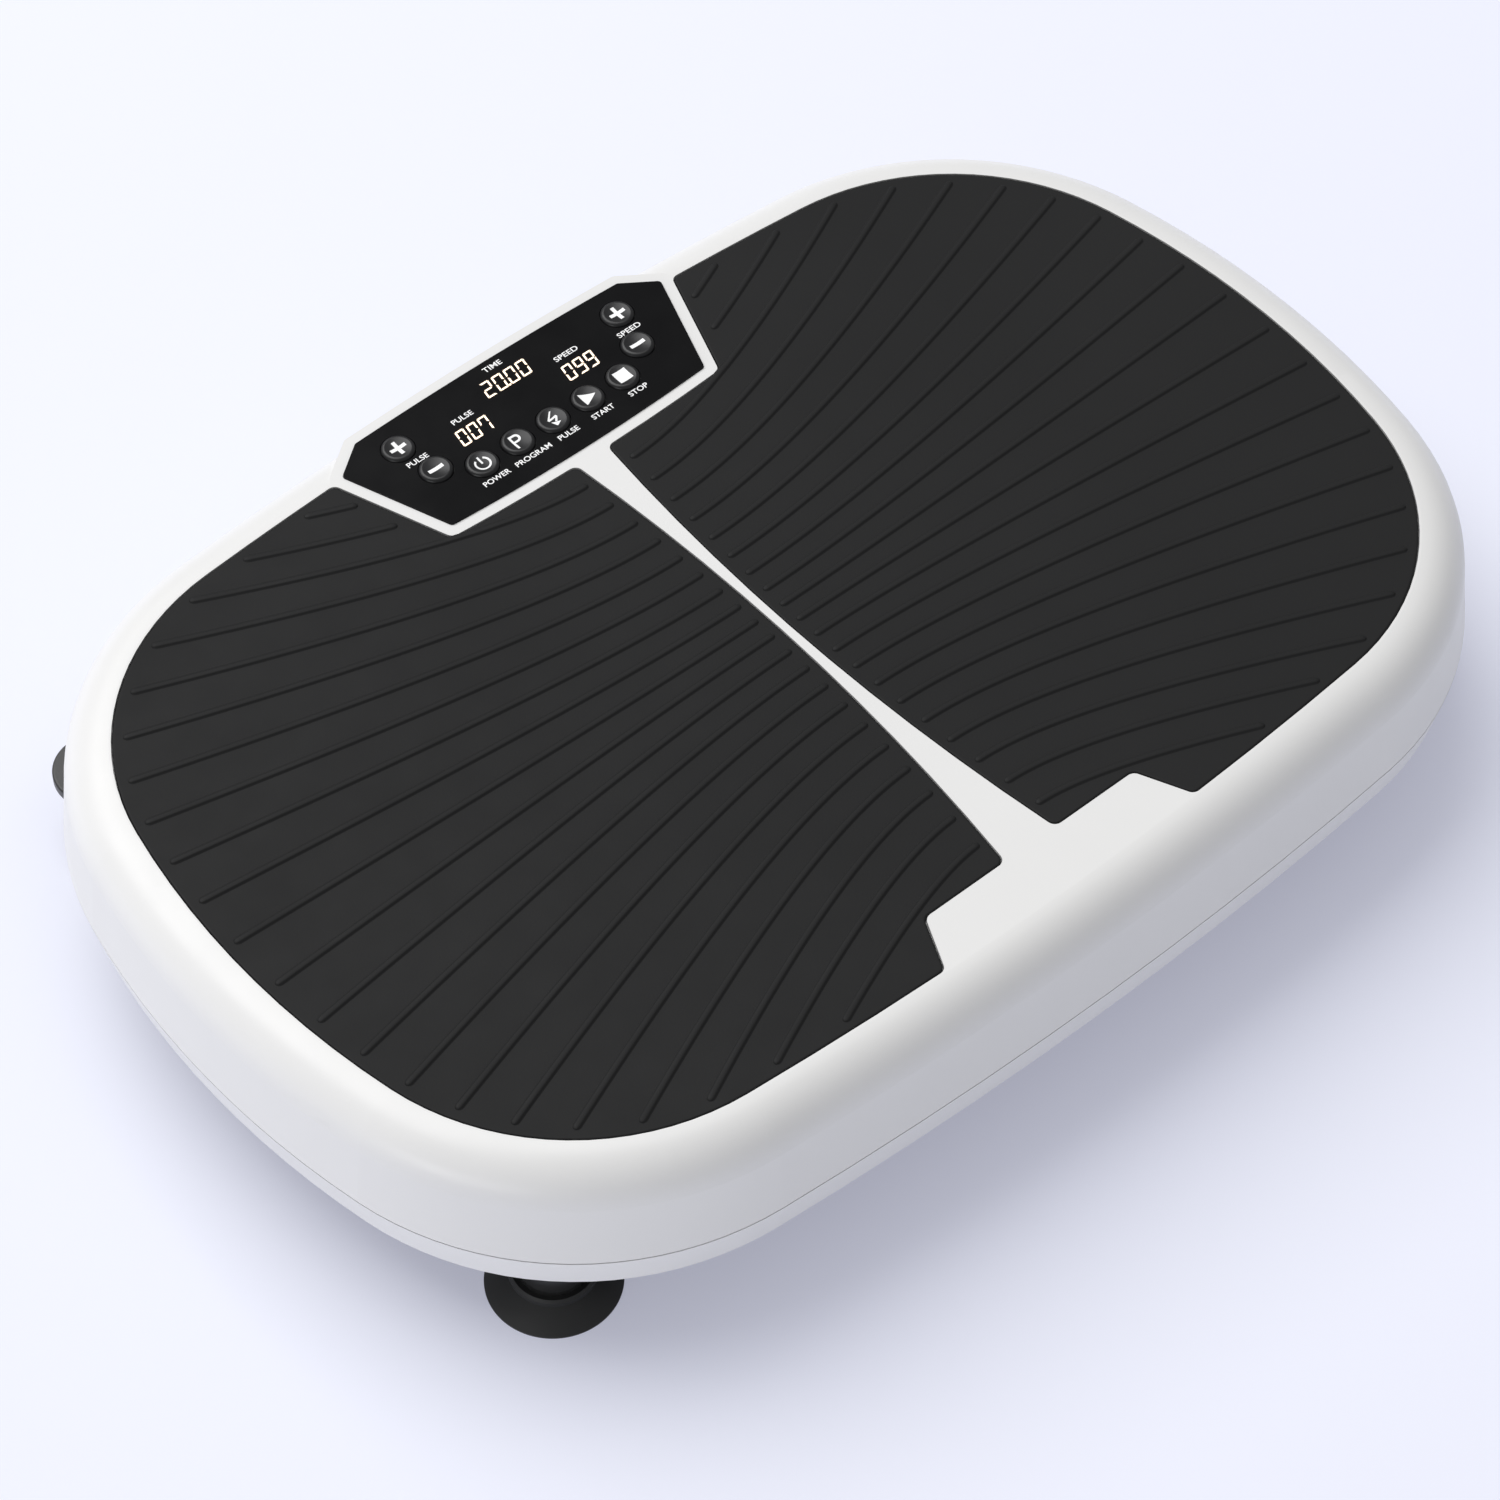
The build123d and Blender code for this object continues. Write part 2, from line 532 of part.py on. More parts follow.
# ---------------------------------------------------------------- control panel
with BuildPart() as control_panel:
    with BuildSketch(Plane.XY.offset(PANEL_UNDER_Z)):
        panel_face(0, PANEL_CORNER)
        with Locations(*BUTTONS.values()):
            Circle(BUTTON_RADIUS + BUTTON_GAP, mode=Mode.SUBTRACT)
    extrude(amount=PANEL_THICKNESS)
    with BuildSketch(Plane.XY.offset(BOARD_TOP_Z)):
        with Locations(*PANEL_BOSSES):
            Circle(BOSS_RADIUS)
            Circle(BOSS_BORE, mode=Mode.SUBTRACT)
    extrude(amount=PANEL_UNDER_Z - BOARD_TOP_Z)
keep(control_panel, "control_panel")

for name, (x, y) in BUTTONS.items():
    upright = Plane(origin=(x, y, 0), x_dir=(1, 0, 0), z_dir=(0, -1, 0))
    flange = BUTTON_RADIUS + BUTTON_FLANGE_WIDTH
    dish = BUTTON_RADIUS - BUTTON_LIP
    with BuildPart() as button:
        with BuildSketch(upright):
            with BuildLine():
                Polyline((0, BUTTON_STEM_Z), (BUTTON_STEM_RADIUS, BUTTON_STEM_Z),
                         (BUTTON_STEM_RADIUS, BUTTON_FLANGE_Z), (flange, BUTTON_FLANGE_Z),
                         (flange, BUTTON_STOP_Z), (BUTTON_RADIUS, BUTTON_STOP_Z),
                         (BUTTON_RADIUS, BUTTON_TOP_Z - BUTTON_LIP))
                RadiusArc((BUTTON_RADIUS, BUTTON_TOP_Z - BUTTON_LIP), (dish, BUTTON_TOP_Z), -BUTTON_LIP)
                RadiusArc((dish, BUTTON_TOP_Z), (0, BUTTON_TOP_Z - BUTTON_DISH),
                          (dish**2 + BUTTON_DISH**2) / (2 * BUTTON_DISH))
                Line((0, BUTTON_TOP_Z - BUTTON_DISH), (0, BUTTON_STEM_Z))
            make_face()
        revolve(axis=Axis((x, y, 0), (0, 0, 1)))
    keep(button, name)

with BuildPart() as display_module:
    with BuildSketch(Plane.XY.offset(BOARD_TOP_Z)):
        with Locations(TIME_DISPLAY[:2]):
            Rectangle(*TIME_DISPLAY[2:])
        with Locations(SIDE_DISPLAY[:2], (-SIDE_DISPLAY[0], SIDE_DISPLAY[1])):
            Rectangle(*SIDE_DISPLAY[2:])
    extrude(amount=PANEL_UNDER_Z - BOARD_TOP_Z)
keep(display_module, "display_module")

with BuildPart() as panel_board:
    with BuildSketch(Plane.XY.offset(BOARD_TOP_Z - BOARD_THICKNESS)):
        panel_face(-PANEL_LEDGE - 0.5)
        with Locations(*PANEL_BOSSES):
            Circle(BOSS_BORE + 0.1, mode=Mode.SUBTRACT)
    extrude(amount=BOARD_THICKNESS)
keep(panel_board, "panel_board")

with BuildPart() as tact_switches:
    with BuildSketch(Plane.XY.offset(BOARD_TOP_Z)):
        with Locations(*BUTTONS.values()):
            Rectangle(6, 6)
    extrude(amount=1.2)
    with BuildSketch(Plane.XY.offset(BOARD_TOP_Z + 1.2)):
        with Locations(*BUTTONS.values()):
            Circle(1.5)
    extrude(amount=0.5)
keep(tact_switches, "tact_switches")

with BuildPart() as panel_screws:
    with BuildSketch(Plane.XY.offset(BOARD_TOP_Z - BOARD_THICKNESS - SCREW_HEAD)):
        with Locations(*PANEL_BOSSES):
            Circle(2 * BOSS_BORE)
    extrude(amount=SCREW_HEAD)
    with BuildSketch(Plane.XY.offset(BOARD_TOP_Z - BOARD_THICKNESS)):
        with Locations(*PANEL_BOSSES):
            Circle(BOSS_BORE)
    extrude(amount=PANEL_UNDER_Z - BOARD_TOP_Z + BOARD_THICKNESS)
keep(panel_screws, "panel_screws")

# ---------------------------------------------------------------- power inlet and switch
SOCKET_CONTACTS = [(INLET_X + side * SOCKET_PITCH / 2, POWER_Z) for side in (-1, 1)]
SOCKET_FACE = Plane.XZ.offset(-POWER_FACE_Y - INLET_FLANGE_DEPTH)
with BuildPart() as power_inlet:
    with BuildSketch(SOCKET_FACE):
        with Locations((INLET_X, POWER_Z)):
            RectangleRounded(*INLET_FLANGE, 3)
    extrude(amount=INLET_FLANGE_DEPTH)
    with BuildSketch(Plane.XZ.offset(-POWER_FACE_Y)):
        with Locations((INLET_X, POWER_Z)):
            RectangleRounded(*INLET_BODY, 2)
    extrude(amount=INLET_BODY_DEPTH)
    with BuildSketch(SOCKET_FACE):
        with Locations(*SOCKET_CONTACTS):
            Circle(SOCKET_RADIUS)
        with Locations((INLET_X, POWER_Z)):
            Rectangle(SOCKET_PITCH, 2 * SOCKET_RADIUS - 1)
    extrude(amount=SOCKET_DEPTH, mode=Mode.SUBTRACT)
    with BuildSketch(SOCKET_FACE.offset(SOCKET_DEPTH)):
        with Locations(*SOCKET_CONTACTS):
            Circle(CONTACT_RADIUS)
    extrude(amount=-SOCKET_DEPTH + 2)
keep(power_inlet, "power_inlet")

with BuildPart() as switch_housing:
    with BuildSketch(Plane.XZ.offset(-POWER_FACE_Y)):
        with Locations((SWITCH_X, POWER_Z)):
            RectangleRounded(*SWITCH_FLANGE, 1)
    extrude(amount=-SWITCH_FLANGE_DEPTH)
    with BuildSketch(Plane.XZ.offset(-POWER_FACE_Y)):
        with Locations((SWITCH_X, POWER_Z)):
            Rectangle(*SWITCH_BODY)
    extrude(amount=SWITCH_BODY_DEPTH)
    with BuildSketch(Plane.YZ.offset(SWITCH_X)):
        with Locations((ROCKER_PIVOT_Y, POWER_Z)):
            Circle(ROCKER_RADIUS + ROCKER_GAP)
        with Locations((ROCKER_PIVOT_Y + ROCKER_RADIUS, POWER_Z)):
            Rectangle(2 * ROCKER_RADIUS, SWITCH_BODY[1] - 2 * ROCKER_GAP)
    extrude(amount=ROCKER_HALF_WIDTH + ROCKER_GAP, both=True, mode=Mode.SUBTRACT)
    with BuildSketch(Plane.YZ.offset(SWITCH_X)):
        with Locations((ROCKER_PIVOT_Y, POWER_Z)):
            Circle(ROCKER_PIN_RADIUS + RUNNING_GAP)
    extrude(amount=SWITCH_BODY[0] / 2 - 0.5, both=True, mode=Mode.SUBTRACT)
keep(switch_housing, "switch_housing")

with BuildPart() as switch_rocker:
    with BuildSketch(Plane.YZ.offset(SWITCH_X)):
        with Locations((ROCKER_PIVOT_Y, POWER_Z)):
            Circle(ROCKER_RADIUS)
        # two flats meet in a shallow valley, so that one end stands proud
        with BuildLine():
            Polyline((ROCKER_PIVOT_Y + 3.2, POWER_Z), (ROCKER_PIVOT_Y + 4.5, POWER_Z + 6),
                     (ROCKER_PIVOT_Y + 8, POWER_Z + 6), (ROCKER_PIVOT_Y + 8, POWER_Z - 6),
                     (ROCKER_PIVOT_Y + 2.2, POWER_Z - 6), (ROCKER_PIVOT_Y + 3.2, POWER_Z))
        make_face(mode=Mode.SUBTRACT)
    extrude(amount=ROCKER_HALF_WIDTH, both=True)
    with BuildSketch(Plane.YZ.offset(SWITCH_X)):
        with Locations((ROCKER_PIVOT_Y, POWER_Z)):
            Circle(ROCKER_PIN_RADIUS)
    extrude(amount=SWITCH_BODY[0] / 2 - 0.7, both=True)
keep(switch_rocker, "switch_rocker")

# ---------------------------------------------------------------- deck frame
for name, y in (("front_deck_rail", RAIL_FRONT_Y), ("back_deck_rail", RAIL_BACK_Y)):
    with BuildPart() as rail:
        with BuildSketch(Plane.YZ.offset(-RAIL_HALF_LENGTH)):
            with Locations((y, RAIL_Z)):
                RectangleRounded(TUBE_WIDTH, TUBE_HEIGHT, TUBE_CORNER)
                RectangleRounded(TUBE_WIDTH - 2 * TUBE_WALL, TUBE_HEIGHT - 2 * TUBE_WALL, 1,
                                 mode=Mode.SUBTRACT)
        extrude(amount=2 * RAIL_HALF_LENGTH)
    keep(rail, name)

CROSS_FRONT_Y = RAIL_FRONT_Y + TUBE_WIDTH / 2
CROSS_BACK_Y = RAIL_BACK_Y - TUBE_WIDTH / 2
for name, x in CROSS_MEMBERS.items():
    with BuildPart() as cross:
        with BuildSketch(Plane.XZ.offset(-CROSS_FRONT_Y)):
            with Locations((x, RAIL_Z)):
                RectangleRounded(TUBE_WIDTH, TUBE_HEIGHT, TUBE_CORNER)
                RectangleRounded(TUBE_WIDTH - 2 * TUBE_WALL, TUBE_HEIGHT - 2 * TUBE_WALL, 1,
                                 mode=Mode.SUBTRACT)
        extrude(amount=CROSS_FRONT_Y - CROSS_BACK_Y)
    keep(cross, name)

RAIL_UNDER_Z = CEILING_Z - TUBE_HEIGHT
for name, y in (("front_pivot_hanger", RAIL_FRONT_Y), ("back_pivot_hanger", RAIL_BACK_Y)):
    with BuildPart() as hanger:
        with BuildSketch(Plane.XZ.offset(-y)):
            with Locations((0, PIVOT_Z)):
                Circle(HANGER_RADIUS)
            Polygon((-HANGER_RADIUS, PIVOT_Z), (HANGER_RADIUS, PIVOT_Z),
                    (HANGER_HALF_TOP, RAIL_UNDER_Z), (-HANGER_HALF_TOP, RAIL_UNDER_Z), align=None)
            with Locations((0, PIVOT_Z)):
                Circle(BUSH_RADIUS, mode=Mode.SUBTRACT)
        extrude(amount=HANGER_THICKNESS / 2, both=True)
    keep(hanger, name)

with BuildPart() as pivot_bushes:
    for y in (RAIL_FRONT_Y, RAIL_BACK_Y):
        with BuildSketch(Plane.XZ.offset(-y)):
            with Locations((0, PIVOT_Z)):
                Circle(BUSH_RADIUS)
                Circle(PIVOT_RADIUS + RUNNING_GAP, mode=Mode.SUBTRACT)
        extrude(amount=HANGER_THICKNESS / 2, both=True)
keep(pivot_bushes, "pivot_bushes")

# box bracket between two cross members, with two ears that hold the rod pin
BRACKET_FROM_X = CROSS_MEMBERS["inner_cross_member"] + TUBE_WIDTH / 2
BRACKET_TO_X = CROSS_MEMBERS["outer_cross_member"] - TUBE_WIDTH / 2
with BuildPart() as rod_bracket:
    with BuildSketch(Plane.XY.offset(RAIL_UNDER_Z)):
        with Locations(((BRACKET_FROM_X + BRACKET_TO_X) / 2, 0)):
            Rectangle(BRACKET_TO_X - BRACKET_FROM_X, ROD_BOX_DEPTH)
            Rectangle(BRACKET_TO_X - BRACKET_FROM_X - 2 * EAR_THICKNESS, ROD_BOX_DEPTH - 2 * EAR_THICKNESS,
                      mode=Mode.SUBTRACT)
    extrude(amount=TUBE_HEIGHT)
    for y in EAR_YS:
        with BuildSketch(Plane.XZ.offset(-y)):
            with Locations((CRANK_X, ROD_PIN_Z)):
                Circle(EAR_RADIUS)
                Rectangle(2 * EAR_RADIUS, 7, align=(Align.CENTER, Align.MIN))
        extrude(amount=-EAR_THICKNESS)
    with BuildSketch(Plane.XZ):
        with Locations((CRANK_X, ROD_PIN_Z)):
            Circle(ROD_PIN_RADIUS)
    extrude(amount=ROD_BOX_DEPTH, both=True, mode=Mode.SUBTRACT)
keep(rod_bracket, "rod_bracket")

with BuildPart() as rod_pin:
    with BuildSketch(Plane.XZ.offset(ROD_BOX_DEPTH / 2)):
        with Locations((CRANK_X, ROD_PIN_Z)):
            Circle(ROD_PIN_RADIUS)
    extrude(amount=-ROD_BOX_DEPTH - 2)
    with BuildSketch(Plane.XZ.offset(ROD_BOX_DEPTH / 2)):
        with Locations((CRANK_X, ROD_PIN_Z)):
            Circle(ROD_PIN_RADIUS + ROD_PIN_HEAD)
    extrude(amount=ROD_PIN_HEAD)
keep(rod_pin, "rod_pin")

# ---------------------------------------------------------------- base tray, plate and feet
with BuildPart() as base_tray:
    with BuildSketch(Plane.XY.offset(TRAY_BOTTOM_Z)):
        oval(DECK_OUTLINE, TRAY_INSET)
    extrude(amount=TRAY_RIM_Z - TRAY_BOTTOM_Z)
    fillet(base_tray.edges().group_by(Axis.Z)[0], radius=3)
    with BuildSketch(Plane.XY.offset(PLATE_Z)):
        oval(DECK_OUTLINE, TRAY_INSET + WALL)
    extrude(amount=TRAY_RIM_Z - PLATE_Z + EPS, mode=Mode.SUBTRACT)
    with BuildSketch(Plane.XY.offset(TRAY_BOTTOM_Z - EPS)):
        with Locations(*FEET.values()):
            Circle(BOLT_RADIUS)
        with Locations((0, MAT_CENTRE_Y)):
            with GridLocations(VENT_PITCH, VENT_ROW_PITCH, VENT_COLUMNS, 2):
                SlotOverall(VENT_LENGTH, VENT_WIDTH, rotation=90)
    extrude(amount=WALL + 2 * EPS, mode=Mode.SUBTRACT)
keep(base_tray, "base_tray")

with BuildPart() as base_plate:
    with BuildSketch(Plane.XY.offset(PLATE_Z)):
        oval(DECK_OUTLINE, PLATE_INSET)
        with Locations(*FEET.values()):
            Circle(BOLT_RADIUS, mode=Mode.SUBTRACT)
        with Locations(*BASE_SCREWS):
            Circle(BASE_SCREW_RADIUS, mode=Mode.SUBTRACT)
        with Locations((0, MAT_CENTRE_Y)):
            with GridLocations(VENT_PITCH, VENT_ROW_PITCH, VENT_COLUMNS, 2):
                SlotOverall(VENT_LENGTH, VENT_WIDTH, rotation=90, mode=Mode.SUBTRACT)
        # room for the big end of the rod and for the crank pulley
        with Locations((CRANK_X, 0), (CRANK_X, PULLEY_Y)):
            RectangleRounded(44, 16, 3, mode=Mode.SUBTRACT)
    extrude(amount=PLATE_THICKNESS)
keep(base_plate, "base_plate")

for name, (x, y) in FEET.items():
    upright = Plane(origin=(x, y, 0), x_dir=(1, 0, 0), z_dir=(0, -1, 0))
    with BuildPart() as cup:
        with BuildSketch(upright):
            with BuildLine():
                Polyline((BOLT_RADIUS, 5), (BOLT_RADIUS, CUP_COLLAR_TOP),
                         (CUP_COLLAR_RADIUS - 1, CUP_COLLAR_TOP), (CUP_COLLAR_RADIUS, CUP_COLLAR_TOP - 1),
                         (CUP_COLLAR_RADIUS, CUP_RISE))
                ThreePointArc((CUP_COLLAR_RADIUS, CUP_RISE), (CUP_RADIUS - 4.2, 3.9), (CUP_RADIUS, 0.6))
                Polyline((CUP_RADIUS, 0.6), (CUP_RADIUS, 0), (CUP_RADIUS - 1.2, 0))
                ThreePointArc((CUP_RADIUS - 1.2, 0), (CUP_RADIUS - 9, 3.1), (BOLT_RADIUS, 5))
            make_face()
        revolve(axis=Axis((x, y, 0), (0, 0, 1)))
    keep(cup, name + "_suction_cup")

with BuildPart() as foot_spacers:
    with BuildSketch(Plane.XY.offset(CUP_COLLAR_TOP)):
        with Locations(*FEET.values()):
            Circle(SPACER_RADIUS)
            Circle(BOLT_RADIUS, mode=Mode.SUBTRACT)
    extrude(amount=TRAY_BOTTOM_Z - CUP_COLLAR_TOP)
keep(foot_spacers, "foot_spacers")

with BuildPart() as foot_bolts:
    with BuildSketch(Plane.XY.offset(CUP_COLLAR_TOP - 4)):
        with Locations(*FEET.values()):
            Circle(BOLT_RADIUS)
    extrude(amount=PLATE_TOP_Z - CUP_COLLAR_TOP + 4)
    with BuildSketch(Plane.XY.offset(PLATE_TOP_Z)):
        with Locations(*FEET.values()):
            RegularPolygon(6.5, 6, major_radius=False)
    extrude(amount=5)
keep(foot_bolts, "foot_bolts")

with BuildPart() as band_anchors:
    with BuildSketch(Plane.XY.offset(TRAY_BOTTOM_Z - ANCHOR_THICKNESS)):
        for side in (-1, 1):
            with BuildSketch(mode=Mode.PRIVATE) as tongue:
                with Locations((side * ANCHOR_AT[0], ANCHOR_AT[1])):
                    Circle(ANCHOR_RADIUS)
                with Locations((side * ANCHOR_ROOT[0], ANCHOR_ROOT[1])):
                    Circle(ANCHOR_RADIUS - 3)
                make_hull()
            add(tongue.sketch)
        with Locations(*[(side * ANCHOR_AT[0], ANCHOR_AT[1]) for side in (-1, 1)]):
            Circle(ANCHOR_EYE_RADIUS, mode=Mode.SUBTRACT)
    extrude(amount=ANCHOR_THICKNESS)
    fillet(band_anchors.edges().group_by(Axis.Z)[0], radius=1)
    fillet(band_anchors.edges().group_by(Axis.Z)[-1], radius=1)
keep(band_anchors, "band_anchors")

# ---------------------------------------------------------------- rocking pivot
for name, y in (("front_pivot_bracket", RAIL_FRONT_Y), ("back_pivot_bracket", RAIL_BACK_Y)):
    with BuildPart() as bracket:
        with BuildSketch(Plane.XY.offset(PLATE_TOP_Z)):
            with Locations((0, y)):
                Rectangle(2 * BRACKET_SCREW_X + 2 * BRACKET_MARGIN, BRACKET_DEPTH)
            with Locations((-BRACKET_SCREW_X, y), (BRACKET_SCREW_X, y)):
                Circle(BASE_SCREW_RADIUS, mode=Mode.SUBTRACT)
        extrude(amount=CHEEK_THICKNESS)
        for cheek in (y - HANGER_THICKNESS / 2 - CHEEK_GAP - CHEEK_THICKNESS,
                      y + HANGER_THICKNESS / 2 + CHEEK_GAP):
            with BuildSketch(Plane.XZ.offset(-cheek)):
                with Locations((0, PIVOT_Z)):
                    Circle(HANGER_RADIUS)
                Polygon((-HANGER_RADIUS, PIVOT_Z), (HANGER_RADIUS, PIVOT_Z),
                        (CHEEK_HALF_FOOT, PLATE_TOP_Z + CHEEK_THICKNESS),
                        (-CHEEK_HALF_FOOT, PLATE_TOP_Z + CHEEK_THICKNESS), align=None)
                with Locations((0, PIVOT_Z)):
                    Circle(PIVOT_RADIUS, mode=Mode.SUBTRACT)
            extrude(amount=-CHEEK_THICKNESS)
    keep(bracket, name)

with BuildPart() as pivot_pins:
    for y in (RAIL_FRONT_Y, RAIL_BACK_Y):
        with BuildSketch(Plane.XZ.offset(-(y - 10))):
            with Locations((0, PIVOT_Z)):
                Circle(PIVOT_RADIUS)
        extrude(amount=-20)
        with BuildSketch(Plane.XZ.offset(-(y - 8))):
            with Locations((0, PIVOT_Z)):
                Circle(PIVOT_RADIUS + 3)
        extrude(amount=3)
keep(pivot_pins, "pivot_pins")

with BuildPart() as base_screws:
    with BuildSketch(Plane.XY.offset(PLATE_Z)):
        with Locations(*BASE_SCREWS):
            Circle(BASE_SCREW_RADIUS)
    extrude(amount=PLATE_THICKNESS + CHEEK_THICKNESS)
    with BuildSketch(Plane.XY.offset(PLATE_TOP_Z + CHEEK_THICKNESS)):
        with Locations(*BASE_SCREWS):
            RegularPolygon(NUT_SIZE, 6, major_radius=False)
    extrude(amount=NUT_HEIGHT)
keep(base_screws, "base_screws")

with BuildPart() as travel_buffers:
    with BuildSketch(Plane.XY.offset(PLATE_TOP_Z)):
        with Locations(*BUFFERS):
            Circle(BUFFER_RADIUS)
    extrude(amount=BUFFER_TOP_Z - PLATE_TOP_Z)
    fillet(travel_buffers.edges().group_by(Axis.Z)[-1], radius=2)
keep(travel_buffers, "travel_buffers")

# ---------------------------------------------------------------- eccentric drive
with BuildPart() as bearing_blocks:
    for y in BLOCK_YS:
        with BuildSketch(Plane.XZ.offset(-y)):
            with Locations((CRANK_X, CRANK_Z)):
                Circle(BEARING_RADIUS + BLOCK_WALL)
            with Locations((CRANK_X, PLATE_TOP_Z)):
                Rectangle(2 * (BEARING_RADIUS + BLOCK_WALL), CRANK_Z - PLATE_TOP_Z,
                          align=(Align.CENTER, Align.MIN))
                Rectangle(2 * (BLOCK_SCREW_X + BLOCK_MARGIN), CHEEK_THICKNESS,
                          align=(Align.CENTER, Align.MIN))
            with Locations((CRANK_X, CRANK_Z)):
                Circle(BEARING_RADIUS, mode=Mode.SUBTRACT)
        extrude(amount=-BLOCK_THICKNESS)
    with BuildSketch(Plane.XY.offset(PLATE_TOP_Z)):
        with Locations(*BLOCK_SCREWS):
            Circle(BASE_SCREW_RADIUS)
    extrude(amount=CHEEK_THICKNESS, mode=Mode.SUBTRACT)
keep(bearing_blocks, "bearing_blocks")

with BuildPart() as crank_bearings:
    for y in BLOCK_YS:
        with BuildSketch(Plane.XZ.offset(-y - (BLOCK_THICKNESS - BEARING_WIDTH) / 2)):
            with Locations((CRANK_X, CRANK_Z)):
                Circle(BEARING_RADIUS)
                Circle(CRANK_RADIUS + RUNNING_GAP, mode=Mode.SUBTRACT)
        extrude(amount=-BEARING_WIDTH)
keep(crank_bearings, "crank_bearings")

with BuildPart() as crank_shaft:
    with BuildSketch(Plane.XZ.offset(30)):
        with Locations((CRANK_X, CRANK_Z)):
            Circle(CRANK_RADIUS)
    extrude(amount=-30 - PULLEY_Y - PULLEY_WIDTH / 2 - 3)
    with BuildSketch(Plane.XZ):
        with Locations((CRANK_X + THROW, CRANK_Z)):
            Circle(ECCENTRIC_RADIUS)
    extrude(amount=ROD_HALF_WIDTH + 1, both=True)
keep(crank_shaft, "crank_shaft")

with BuildPart() as connecting_rod:
    with BuildSketch(Plane.XZ):
        with Locations((CRANK_X + THROW, CRANK_Z)):
            Circle(ROD_RING_RADIUS)
        with Locations((CRANK_X + THROW, ROD_PIN_Z)):
            Circle(ROD_PIN_RADIUS + ROD_EYE_CLEARANCE + 3)
        with Locations((CRANK_X + THROW, (CRANK_Z + ROD_PIN_Z) / 2)):
            Rectangle(16, 12)
        with Locations((CRANK_X + THROW, CRANK_Z)):
            Circle(ECCENTRIC_RADIUS + RUNNING_GAP, mode=Mode.SUBTRACT)
        with Locations((CRANK_X + THROW, ROD_PIN_Z)):
            Circle(ROD_PIN_RADIUS + ROD_EYE_CLEARANCE, mode=Mode.SUBTRACT)
    extrude(amount=ROD_HALF_WIDTH, both=True)
keep(connecting_rod, "connecting_rod")

for name, x, z, radius, bore in (
    ("crank_pulley", CRANK_X, CRANK_Z, CRANK_PULLEY_RADIUS, CRANK_RADIUS),
    ("motor_pulley", MOTOR_X, MOTOR_Z, MOTOR_PULLEY_RADIUS, MOTOR_SHAFT_RADIUS),
):
    with BuildPart() as pulley:
        with BuildSketch(Plane.XZ.offset(-PULLEY_Y)):
            with Locations((x, z)):
                Circle(radius)
        extrude(amount=PULLEY_WIDTH / 2, both=True)
        for y in (PULLEY_Y - PULLEY_WIDTH / 2, PULLEY_Y + PULLEY_WIDTH / 2 - 1):
            with BuildSketch(Plane.XZ.offset(-y)):
                with Locations((x, z)):
                    Circle(radius + PULLEY_LIP)
            extrude(amount=-1)
        with BuildSketch(Plane.XZ.offset(-PULLEY_Y)):
            with Locations((x, z)):
                Circle(bore)
        extrude(amount=PULLEY_WIDTH, both=True, mode=Mode.SUBTRACT)
    keep(pulley, name)

with BuildPart() as drive_belt:
    with BuildSketch(Plane.XZ.offset(-PULLEY_Y)):
        belt_loop(BELT_GAP + BELT_THICKNESS)
        belt_loop(BELT_GAP, mode=Mode.SUBTRACT)
    extrude(amount=PULLEY_WIDTH / 2 - 1.4, both=True)
keep(drive_belt, "drive_belt")

# ---------------------------------------------------------------- motor
with BuildPart() as motor_housing:
    with BuildSketch(Plane.XZ.offset(-MOTOR_FRONT_Y)):
        with Locations((MOTOR_X, MOTOR_Z)):
            Circle(MOTOR_RADIUS)
    extrude(amount=MOTOR_FRONT_Y - MOTOR_BACK_Y)
    with BuildSketch(Plane.XZ.offset(-MOTOR_FRONT_Y)):
        with Locations((MOTOR_X, MOTOR_Z)):
            Circle(MOTOR_RADIUS - MOTOR_WALL)
    extrude(amount=MOTOR_FRONT_Y - MOTOR_BACK_Y + MOTOR_CAP_DEPTH, mode=Mode.SUBTRACT)
    with BuildSketch(Plane.XZ.offset(-MOTOR_BACK_Y)):
        with Locations((MOTOR_X, MOTOR_Z)):
            Circle(MOTOR_SHAFT_RADIUS + RUNNING_GAP)
    extrude(amount=MOTOR_CAP_DEPTH + EPS, both=True, mode=Mode.SUBTRACT)
keep(motor_housing, "motor_housing")

with BuildPart() as motor_end_cap:
    with BuildSketch(Plane.XZ.offset(-MOTOR_FRONT_Y)):
        with Locations((MOTOR_X, MOTOR_Z)):
            Circle(MOTOR_RADIUS)
            Circle(MOTOR_SHAFT_RADIUS + RUNNING_GAP, mode=Mode.SUBTRACT)
    extrude(amount=MOTOR_CAP_DEPTH)
keep(motor_end_cap, "motor_end_cap")

with BuildPart() as motor_rotor:
    with BuildSketch(Plane.XZ.offset(-MOTOR_FRONT_Y + 5)):
        with Locations((MOTOR_X, MOTOR_Z)):
            Circle(MOTOR_SHAFT_RADIUS)
    extrude(amount=MOTOR_FRONT_Y - 5 - PULLEY_Y - PULLEY_WIDTH / 2 - 2)
    with BuildSketch(Plane.XZ.offset(-MOTOR_FRONT_Y - ROTOR_OFFSET)):
        with Locations((MOTOR_X, MOTOR_Z)):
            Circle(MOTOR_RADIUS - MOTOR_WALL - ROTOR_GAP)
    extrude(amount=-ROTOR_LENGTH)
keep(motor_rotor, "motor_rotor")

with BuildPart() as motor_saddles:
    for y in SADDLE_YS:
        with BuildSketch(Plane.XZ.offset(-y)):
            with Locations((MOTOR_X, PLATE_TOP_Z)):
                Rectangle(2 * MOTOR_RADIUS + 8, SADDLE_HEIGHT, align=(Align.CENTER, Align.MIN))
            with Locations((MOTOR_X, MOTOR_Z)):
                Circle(MOTOR_RADIUS, mode=Mode.SUBTRACT)
        extrude(amount=-SADDLE_THICKNESS)
keep(motor_saddles, "motor_saddles")

